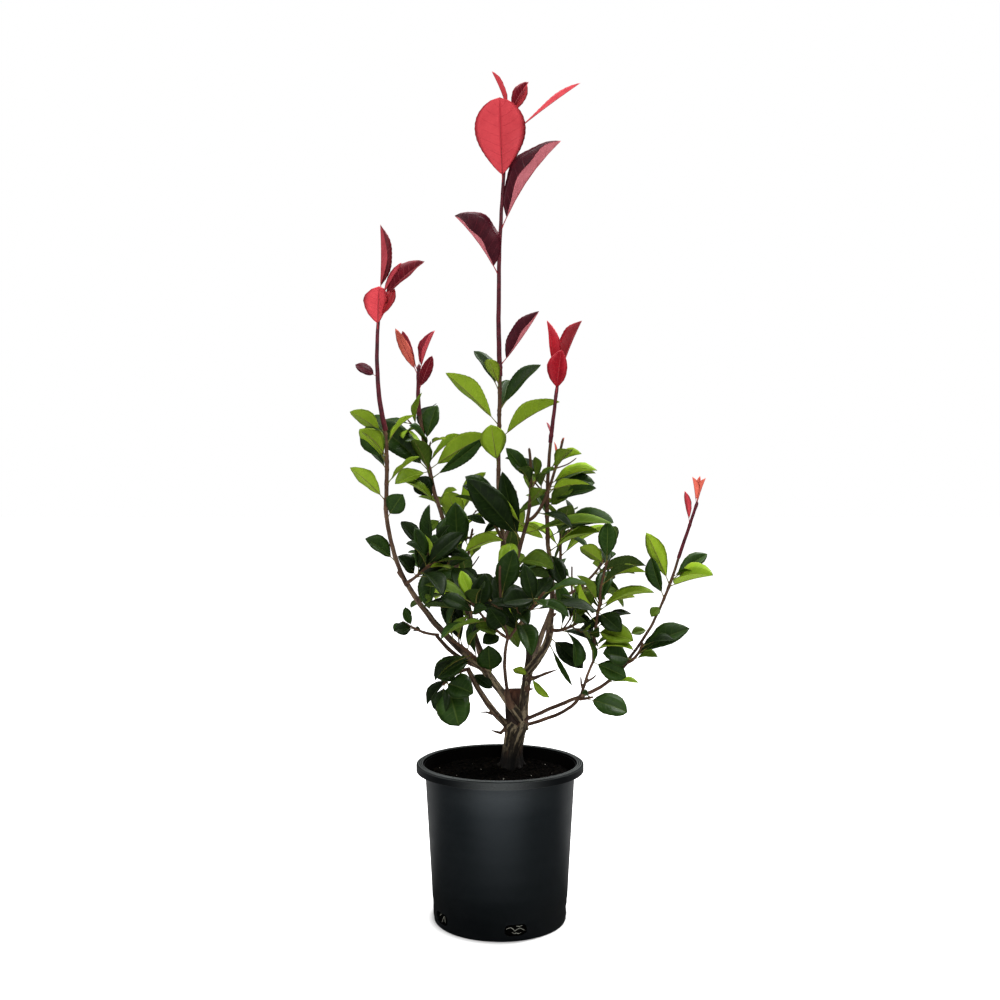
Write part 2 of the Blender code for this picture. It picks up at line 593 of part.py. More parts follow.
def grow(crowd, shoot):
    """The side twigs and the leaves that the rule adds to one shoot. The crowd keeps them."""
    name = shoot.stem.name
    twigs = []
    leaves = []
    stems = [(shoot.stem, shoot.leaves, shoot.seed)]
    for number in range(shoot.twigs):
        twig = side_twig(shoot, number)
        twig_skin = tube(twig, 6, 4, 0)
        if not crowd.meets(*twig_skin, (name,)):
            crowd.add(*twig_skin, name)
            twigs.append(twig)
            stems.append((twig, 3, shoot.seed + 500 + number))
    for stem, count, seed in stems:
        for number in range(count):
            leaf = first_fit(crowd, stem, shoot, number, count, seed)
            if leaf:
                crowd.add(*leaf_skin(leaf), name + "_leaf")
                leaves.append(leaf)
    return twigs, leaves


def clear_scene():
    """Removes what the scene holds."""
    for obj in list(bpy.data.objects):
        bpy.data.objects.remove(obj, do_unlink=True)


def paint(obj, colour, roughness):
    """Gives an object a material of its own."""
    material = bpy.data.materials.new(obj.name)
    material.use_nodes = True
    shader = material.node_tree.nodes["Principled BSDF"]
    shader.inputs["Base Color"].default_value = (*colour, 1.0)
    shader.inputs["Roughness"].default_value = roughness
    shader.inputs["Metallic"].default_value = 0.0
    obj.data.materials.clear()
    obj.data.materials.append(material)


def object_from(name, points, faces, scale=MM):
    """A mesh object in the scene, from points in mm, with its faces turned outwards."""
    mesh = bpy.data.meshes.new(name)
    mesh.from_pydata([tuple(point * scale) for point in points], [], faces)
    obj = bpy.data.objects.new(name, mesh)
    bpy.context.scene.collection.objects.link(obj)
    work = bmesh.new()
    work.from_mesh(mesh)
    bmesh.ops.recalc_face_normals(work, faces=work.faces)
    work.to_mesh(mesh)
    work.free()
    return obj


def helper(name, points, faces):
    """A hidden object that only cuts others."""
    obj = object_from(name, points, faces)
    obj.hide_render = True
    obj.display_type = "WIRE"
    return obj


def settle(obj):
    """Replaces an object's mesh by what its modifiers make of it."""
    bpy.context.view_layer.update()
    graph = bpy.context.evaluated_depsgraph_get()
    mesh = bpy.data.meshes.new_from_object(obj.evaluated_get(graph))
    obj.modifiers.clear()
    obj.data = mesh


def drop(objects):
    """Removes helper objects."""
    for obj in objects:
        bpy.data.objects.remove(obj, do_unlink=True)


def tree_of(obj):
    """A search tree of an object's faces."""
    points = [vertex.co for vertex in obj.data.vertices]
    return BVHTree.FromPolygons(points, [tuple(face.vertices) for face in obj.data.polygons])


def sound(obj, least):
    """Whether an object is one closed solid that holds at least a volume."""
    work = bmesh.new()
    work.from_mesh(obj.data)
    closed = bool(work.edges) and all(len(edge.link_faces) == 2 for edge in work.edges)
    volume = work.calc_volume(signed=True)
    work.free()
    return closed and volume > least


def volume_of(obj):
    """The volume inside an object's mesh."""
    work = bmesh.new()
    work.from_mesh(obj.data)
    volume = work.calc_volume()
    work.free()
    return volume


def seat(obj, cutters):
    """Cuts an object clear of the pieces that stand before it, one at a time, and keeps its main piece."""
    for cutter in cutters:
        if not tree_of(obj).overlap(tree_of(cutter)):
            continue
        whole = obj.data.copy()
        before = volume_of(obj)
        for solver, merge in TRIES:
            cut = obj.modifiers.new("seat", "BOOLEAN")
            cut.operation = "DIFFERENCE"
            cut.solver = solver
            cut.object = cutter
            settle(obj)
            keep_main_piece(obj, merge)
            if sound(obj, LEAST_LEFT * before):
                break
            obj.data = whole.copy()


def pieces_of(work):
    """The faces of each separate piece of a mesh, and the volume that each encloses."""
    left = set(work.faces)
    found = []
    while left:
        piece = {left.pop()}
        edge_of_search = list(piece)
        while edge_of_search:
            face = edge_of_search.pop()
            for edge in face.edges:
                for other in edge.link_faces:
                    if other in left:
                        left.remove(other)
                        piece.add(other)
                        edge_of_search.append(other)
        volume = 0.0
        for face in piece:
            corners = [loop.vert.co for loop in face.loops]
            for k in range(1, len(corners) - 1):
                volume += corners[0].dot(corners[k].cross(corners[k + 1])) / 6
        found.append((volume, piece))
    return sorted(found, key=lambda item: -abs(item[0]))


def keep_main_piece(obj, merge=0.00001):
    """Drops loose scraps and the skins of sealed hollows, and leaves triangles without thin slivers."""
    work = bmesh.new()
    work.from_mesh(obj.data)
    bmesh.ops.remove_doubles(work, verts=work.verts, dist=merge)
    bmesh.ops.dissolve_degenerate(work, edges=work.edges, dist=merge)
    found = pieces_of(work)
    for _, piece in found[1:]:
        bmesh.ops.delete(work, geom=list(piece), context="FACES")
    bmesh.ops.triangulate(work, faces=work.faces)
    work.to_mesh(obj.data)
    work.free()


def unite(obj, operands):
    """Joins an object and those in a collection into one solid, then removes them."""
    group = bpy.data.collections.new(obj.name + "_parts")
    bpy.context.scene.collection.children.link(group)
    for operand in operands:
        bpy.context.scene.collection.objects.unlink(operand)
        group.objects.link(operand)
    whole = obj.data.copy()
    before = volume_of(obj)
    for solver, merge in TRIES:
        join = obj.modifiers.new("join", "BOOLEAN")
        join.operation = "UNION"
        join.operand_type = "COLLECTION"
        join.collection = group
        join.solver = solver
        settle(obj)
        keep_main_piece(obj, merge)
        if sound(obj, before):
            break
        obj.data = whole.copy()
    drop(operands)
    bpy.data.collections.remove(group)


def shade(obj, angle=40):
    """Shades an object smooth, with its sharp edges kept."""
    obj.data.shade_smooth()
    obj.data.set_sharp_from_angle(angle=math.radians(angle))


def turned(name, profile, sides):
    """A turned solid from a closed profile of (radius, height) pairs that starts and ends on the axis."""
    mesh = bpy.data.meshes.new(name)
    obj = bpy.data.objects.new(name, mesh)
    bpy.context.scene.collection.objects.link(obj)
    work = bmesh.new()
    corners = [work.verts.new((radius, 0, height)) for radius, height in profile]
    edges = [work.edges.new(pair) for pair in zip(corners, corners[1:])]
    bmesh.ops.spin(work, geom=corners + edges, cent=(0, 0, 0), axis=(0, 0, 1), dvec=(0, 0, 0),
                   angle=2 * math.pi, steps=sides, use_merge=True)
    bmesh.ops.remove_doubles(work, verts=work.verts, dist=0.00001)
    bmesh.ops.recalc_face_normals(work, faces=work.faces)
    work.to_mesh(mesh)
    work.free()
    return obj


def wall_radius(height):
    """The pot wall's outer radius at a height."""
    neck = POT_HEIGHT - LIP_DEPTH
    return FOOT_RADIUS + (NECK_RADIUS - FOOT_RADIUS) * height / neck


def pot_profile():
    """The pot's section, from the middle of its underside round the wall and rim to the middle of its floor."""
    top = POT_HEIGHT
    lip = POT_HEIGHT - LIP_DEPTH
    inner_edge = RIM_RADIUS - RIM_FLAT
    outside = [(0, 0), (FOOT_RADIUS - 0.001, 0), (wall_radius(0.001), 0.001)]
    outside += [(wall_radius(FOOT_BAND), FOOT_BAND), (wall_radius(FOOT_BAND) + FOOT_STEP, FOOT_BAND + 0.001)]
    outside += [(NECK_RADIUS, lip), (NECK_RADIUS + 0.0006, top - 0.0019)]
    skirt = [(RIM_RADIUS - 0.0019, top - 0.0019), (RIM_RADIUS - 0.0017, lip), (RIM_RADIUS, lip)]
    skirt += [(RIM_RADIUS, top - 0.001), (RIM_RADIUS - 0.001, top)]
    ridges = []
    for inward in RIDGES:
        ridges += [(RIM_RADIUS - inward + 0.0008, top), (RIM_RADIUS - inward, top + RIDGE_HEIGHT)]
        ridges += [(RIM_RADIUS - inward - 0.0008, top)]
    inside = [(inner_edge, top), (NECK_RADIUS - WALL + 0.0006, top - 0.006)]
    inside += [(wall_radius(FLOOR) - WALL, FLOOR), (0, FLOOR)]
    return outside + skirt + ridges + inside


def drain_cutters():
    """One mesh of rounded blocks that cuts the drain holes through the foot of the wall."""
    work = bmesh.new()
    for k in range(DRAIN_HOLES):
        angle = DRAIN_FIRST + 2 * math.pi * k / DRAIN_HOLES
        made = bmesh.ops.create_cube(work, size=1.0)
        bmesh.ops.scale(work, vec=(0.012, DRAIN_WIDTH, DRAIN_HEIGHT), verts=made["verts"])
        along_x = [edge for edge in {edge for vertex in made["verts"] for edge in vertex.link_edges}
                   if abs(edge.verts[0].co.x - edge.verts[1].co.x) > 0.01]
        shaped = bmesh.ops.bevel(work, geom=along_x, offset=DRAIN_HEIGHT * 0.42, segments=3, profile=0.5,
                                 affect="EDGES", material=-1)
        corners = {vertex for face in shaped["faces"] for vertex in face.verts}
        place = Matrix.Rotation(angle, 4, "Z") @ Matrix.Translation((FOOT_RADIUS, 0, DRAIN_LIFT + DRAIN_HEIGHT / 2))
        bmesh.ops.transform(work, matrix=place, verts=list(corners))
    mesh = bpy.data.meshes.new("drain_cutter")
    work.to_mesh(mesh)
    work.free()
    cutter = bpy.data.objects.new("drain_cutter", mesh)
    bpy.context.scene.collection.objects.link(cutter)
    return cutter


def make_pot():
    """The round pot with its turned rim, foot band and drain holes."""
    pot = turned("pot", pot_profile(), POT_SIDES)
    cutter = drain_cutters()
    cut = pot.modifiers.new("drain", "BOOLEAN")
    cut.operation = "DIFFERENCE"
    cut.solver = "EXACT"
    cut.object = cutter
    settle(pot)
    drop([cutter])
    keep_main_piece(pot)
    paint(pot, BLACK_PLASTIC, 0.42)
    shade(pot, 30)


def make_soil():
    """The potting mix that fills the pot to its level, just clear of the wall."""
    low = FLOOR + SOIL_CLEAR
    neck = wall_radius(low) - WALL - SOIL_CLEAR * 1.2
    top = wall_radius(SOIL_LEVEL) - WALL - SOIL_CLEAR * 1.2
    profile = [(0, low), (neck, low), (top, SOIL_LEVEL - 0.001), (top - 0.0015, SOIL_LEVEL), (0, SOIL_LEVEL)]
    soil = turned("potting_mix", profile, POT_SIDES)
    paint(soil, MIX, 0.95)
    shade(soil, 30)


def trunk_skin(spare=0.0):
    """Points and faces of the trunk, from a flat cut at the mix, through its root flare, to its fork."""
    trunk = Limb("trunk", TRUNK_FOOT, TRUNK_TOP, (-1, 1, 0), TRUNK_RADII[0], TRUNK_RADII[-1])
    rings = []
    rows = len(TRUNK_RADII) - 1
    span = (Vector(TRUNK_TOP) - Vector(TRUNK_FOOT)).length
    shares = sorted({0.0, 0.05, 0.12} | {k / rows for k in range(rows + 1)})
    for share in shares:
        place = min(int(share * rows), rows - 1)
        part_of = share * rows - place
        radius = TRUNK_RADII[place] * (1 - part_of) + TRUNK_RADII[place + 1] * part_of + spare
        swell = FLARE * math.exp(-share * span / FLARE_FALL)

        def lobes(angle, radius=radius, swell=swell):
            return 1 + swell / radius * (0.55 + 0.45 * math.cos(FLARE_LOBES * angle + 0.6))

        axis = Vector((0, 0, 1)) if share == 0 else heading_on(trunk, share)
        rings.append(ring(point_on(trunk, share), axis, radius, TRUNK_SIDES, lobes))
    top = point_on(trunk, 1.0) + heading_on(trunk, 1.0) * (1.5 + spare)
    rings.append(ring(top, heading_on(trunk, 1.0), TRUNK_RADII[-1] * 0.86 + spare, TRUNK_SIDES))
    return skin(rings)


def make_wood():
    """The trunk, its pruned stump and the boughs, each seated clear of those before it. Returns their cutters."""
    trunk = object_from("trunk", *trunk_skin())
    keep_main_piece(trunk)
    paint(trunk, BARK, 0.9)
    shade(trunk)
    cutters = [helper("trunk_cutter", *trunk_skin(SEAT_GAP / MM))]
    stump = Limb("pruned_stump", STUMP_FOOT, STUMP_TOP, (0, 0, 0), *STUMP_RADII)
    for limb in (stump, *BOUGHS):
        sides = 12 if limb is stump else (8 if limb.foot_radius > 3.2 else 6)
        rows = 2 if limb is stump else 4
        root = ROOTS.get(limb.name, limb.foot_radius * 0.9 + 2)
        obj = object_from(limb.name, *tube(limb, sides, rows, root))
        keep_main_piece(obj)
        seat(obj, cutters)
        paint(obj, CUT_WOOD if limb is stump else BARK, 0.9)
        shade(obj)
        cutters.append(helper(limb.name + "_cutter", *tube(limb, sides, rows, root, SEAT_GAP / MM)))
    return cutters


def make_shoot(shoot, cutters, twigs, leaves):
    """One leafy shoot as one solid: its stem seated on its bough, with twigs and leaves fused on."""
    root = shoot.stem.foot_radius + 1.5
    stem = object_from(shoot.stem.name, *tube(shoot.stem, STEM_SIDES, STEM_ROWS, root))
    keep_main_piece(stem)
    seat(stem, cutters)
    cutters.append(helper(stem.name + "_cutter", *tube(shoot.stem, STEM_SIDES, STEM_ROWS, root, SEAT_GAP / MM)))
    operands = [object_from(twig.name, *tube(twig, STEM_SIDES, 3, 0)) for twig in twigs]
    for number, leaf in enumerate(leaves):
        rows = ROWS if leaf.length > SMALL_LEAF else FEW_ROWS
        operands.append(object_from(f"{stem.name}_leaf_{number}", *leaf_skin(leaf, rows)))
    unite(stem, operands)
    paint(stem, shoot.colour, 0.5)
    shade(stem, 50)


def main():
    """Builds the whole potted shrub."""
    clear_scene()
    make_pot()
    make_soil()
    cutters = make_wood()
    crowd, placed = first_crowd(SHOOTS, BOUGHS)
    for shoot in SHOOTS:
        twigs, leaves = grow(crowd, shoot)
        make_shoot(shoot, cutters, twigs, placed[shoot.stem.name] + leaves)
    drop(cutters)


if __name__ == "__main__":
    main()
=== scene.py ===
"""Looks of a young potted shrub: glossy green leaves, red new tips, old pruned wood and a black nursery pot.

Metres, +Z up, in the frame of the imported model. Leaves and stems follow the growth rule that the solids
follow, with the same seeds, so each one lies where its solid does.
"""

import logging
import math
import random
from dataclasses import dataclass, field
from enum import IntEnum
from typing import Iterable, NamedTuple, Sequence

import bmesh
import bpy
import numpy as np
from mathutils import Matrix, Vector, noise
from mathutils.bvhtree import BVHTree
from mathutils.kdtree import KDTree


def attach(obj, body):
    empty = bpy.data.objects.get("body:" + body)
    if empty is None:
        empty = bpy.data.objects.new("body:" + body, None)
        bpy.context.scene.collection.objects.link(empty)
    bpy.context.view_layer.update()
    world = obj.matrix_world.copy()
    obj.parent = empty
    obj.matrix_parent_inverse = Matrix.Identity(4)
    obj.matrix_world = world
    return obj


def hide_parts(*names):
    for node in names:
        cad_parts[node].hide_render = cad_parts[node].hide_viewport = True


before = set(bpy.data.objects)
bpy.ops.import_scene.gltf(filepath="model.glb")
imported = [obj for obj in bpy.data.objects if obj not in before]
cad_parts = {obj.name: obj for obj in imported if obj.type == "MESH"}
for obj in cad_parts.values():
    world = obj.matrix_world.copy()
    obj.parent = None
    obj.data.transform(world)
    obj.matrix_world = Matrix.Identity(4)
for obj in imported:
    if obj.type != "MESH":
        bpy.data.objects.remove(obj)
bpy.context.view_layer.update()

LOG = logging.getLogger("potted_shrub")
MM = 0.001
BODY = "root"
Colour = tuple[float, float, float]
Triple = tuple[float, float, float]
Skin = tuple[list[Vector], list[tuple[int, ...]]]
Line = tuple[list[Vector], list[float]]

# Growth rule, as the solids have it
DIVERGENCE = 137.5
AZIMUTH_SPREAD = 14.0
LIFT_SPREAD = 9.0
ROLL_SPREAD = 20.0
SIZE_SPREAD = (0.86, 1.12)
BEND_RANGE = (16.0, 50.0)
FOLD_RANGE = (10.0, 28.0)
WIDTH_SHARE = (0.44, 0.52)
FIRST_LEAF = 0.16
LEVELLING = 0.55
PETIOLE_SHARE = 0.11
PETIOLE_RADIUS = 0.95
TURNS = (0, 22, -22, 44, -44, 70, -70)
SHORTENED = (1.0, 0.78)
KEEP_OFF = 0.7
LEAST_SLANT = 0.35
STALK_CLEAR = 2.0
SPACE = 1.25
LOWEST_LEAF = 192.0
NEAREST_ROOT = 5.0
TIP_SINK = 1.5
OUTLINE_SKEW = 1.04
BLADE_SKEW = 1.14
OUTLINE_FULLNESS = 0.82
ROWS = (0.2, 0.48, 0.78)
THICKNESS_SHARE = 0.017
THINNEST = 1.0
RULE_SEEDS = 131
TWIG_SEEDS = 977
CROWDING = 0.9
END_SIZE = 0.74
MIDDLE_MORE = 0.26
DARK_SHARE = 0.62

# Finer growth than the solids carry
FINE_TWIGS = (0.45, 0.78)
FINE_LENGTH = 24.0
FINE_LEAF = 36.0
FEWEST_FOR_FINE = 6
FINE_SEEDS = 389
FINE_TURNS = range(0, 360, 40)
FINE_LEAVES = 4
TWIG_LEAVES = 3
NEAR_LEAF = 3.5

# Looks of the leaves against their plain solids: size, fold in degrees, outline, and the heights over which
# they are dealt darker greens as painted shade of the lower crown; and the seeds from which looks and shapes
# are drawn
RED_SWELL = 1.4
VIEW_FROM = (0.0, -1350.0, 499.0)
LIFE_SIZE = 1.12
FOLD_GAIN = 1.15
FOLD_MORE = 6.0
SKEW_RANGE = (1.0, 1.35)
LOWER_CROWN_SHADE = (315.0, 510.0)
STURDY = 45.0
LOOKS_SEED = 5000
SHAPE_SEED = 7000
CHIP_SEED = 412
SEEN_ROWS = (0.15, 0.35, 0.55, 0.75, 0.92)


class Tint(IntEnum):
    """The kinds of leaf, by colour."""

    CORAL = 0
    SCARLET = 1
    MAROON = 2
    ORANGE = 3
    LIGHT = 4
    DARK = 5
    DEEP = 6
    OLIVE = 7
    LIME = 8
    CRIMSON = 9


CORAL, SCARLET, MAROON, ORANGE, LIGHT, DARK, DEEP, OLIVE, LIME, CRIMSON = Tint
RED_TINTS = (CORAL, SCARLET, MAROON, ORANGE, CRIMSON)


class Limb(NamedTuple):
    """A tapering limb: ends in mm, how far its middle stands off the straight line, and its end radii."""

    name: str
    foot: Triple
    tip: Triple
    bow: Triple
    foot_radius: float
    tip_radius: float


class Placed(NamedTuple):
    """A listed leaf: where it leaves the stem, stem to leaf tip in mm, and how its blade is turned."""

    along: float
    reach: Triple
    width: float
    facing: tuple[float, float]
    fold: float
    bend: float
    tint: int


class Shoot(NamedTuple):
    """A leafy shoot: its stem, the number and length of leaves that the rule adds, and the set ones."""

    stem: Limb
    leaves: int
    length: float
    first: float
    lift: tuple[float, float]
    seed: int
    twigs: int
    red: bool
    placed: tuple[Placed, ...]


class Leaf(NamedTuple):
    """One leaf: its root on the stem's axis, its chord, the upper side's normal, and its sizes in mm."""

    root: Vector
    chord: Vector
    normal: Vector
    length: float
    width: float
    petiole: float
    fold: float
    bend: float
    stem_radius: float
    inside: float
    tint: int
    skew: float = BLADE_SKEW
    fullness: float = OUTLINE_FULLNESS


# Trunk and its pruned top, in mm
TRUNK_FOOT = (15, 30, 172.3)
TRUNK_TOP = (20, 22, 227)
TRUNK_RADII = (13.2, 12.2, 12.0, 12.6, 14.2)
STUMP_FOOT = (18.6, 25, 225)
STUMP_TOP = (17, 30, 268)
STUMP_RADII = (11.6, 11.2)
ROOTS = {"right_stem": 9, "left_limb": 9, "far_left_stub": 8, "right_low_stem": 7, "right_low_under": 7}

BOUGHS = (
    Limb("right_stem", (29, 14, 230), (34, 8, 293), (-2, -1, 0), 5.5, 5.8),
    Limb("right_bough", (37, 6, 297), (60, -2, 346), (6, 0, 2), 5.3, 4.3),
    Limb("right_bough_upper", (60, -2, 348), (57, -6, 445), (4, 2, 0), 3.3, 2.6),
    Limb("back_right_bough", (38, 16, 297), (72, 95, 373), (-5, -4, -9), 4.0, 2.8),
    Limb("leader_foot", (34, 13, 297), (12, 24, 389), (9, 1, -4), 4.6, 3.6),
    Limb("leader_stem", (12, 24, 392), (4, 24, 449), (-2, 2, -2), 3.4, 3.1),
    Limb("leader_upper", (4, 24, 451), (-2, 22, 526), (-1, 1, 0), 3.0, 2.7),
    Limb("left_limb", (24, 12, 236), (-17, -2, 294), (0, -1, 1), 5.4, 4.8),
    Limb("left_limb_middle", (-19, -3, 297), (-108, -36, 401), (-6, -2, -3), 4.6, 3.0),
    Limb("left_limb_upper", (-110, -37, 403), (-132, -48, 490), (-3, -2, -4), 2.9, 2.4),
    Limb("left_under_stem", (-19, 4, 296), (-76, 14, 334), (-4, 2, -4), 3.0, 2.2),
    Limb("back_left_bough", (-15, 6, 297), (-41, 96, 368), (-1, -1, -10), 3.8, 2.8),
    Limb("centre_left_stem", (-14, 1, 298), (-54, 32, 422), (-5, 2, 0), 3.4, 2.9),
    Limb("centre_left_upper", (-55, 32, 424), (-79, 38, 503), (1, 1, -2), 2.8, 2.5),
    Limb("far_left_stub", (9, 24, 224), (-38, 4, 295), (-2, -2, -4), 4.4, 3.0),
    Limb("centre_front_twig", (12, 4, 256), (9, -62, 341), (-5, 6, 4), 2.4, 1.8),
    Limb("centre_right_stem", (13, 20, 392), (32, -26, 473), (-2, -1, -2), 2.8, 2.3),
    Limb("right_low_stem", (30, 13, 233), (95, -16, 266), (4, 2, 2), 2.5, 2.2),
    Limb("right_low_under", (30, 18, 226), (93, -10, 262), (10, 2, -2), 2.4, 2.0),
    Limb("far_right_low", (97, -17, 268), (150, -30, 310), (2, 0, -5), 2.3, 1.9),
    Limb("far_right_upper", (151, -30, 313), (189, -34, 378), (3, -1, 0), 1.9, 1.6),
    Limb("right_mid_twig", (96, -18, 268), (109, -34, 311), (-1, 2, -1), 2.0, 1.7),
)

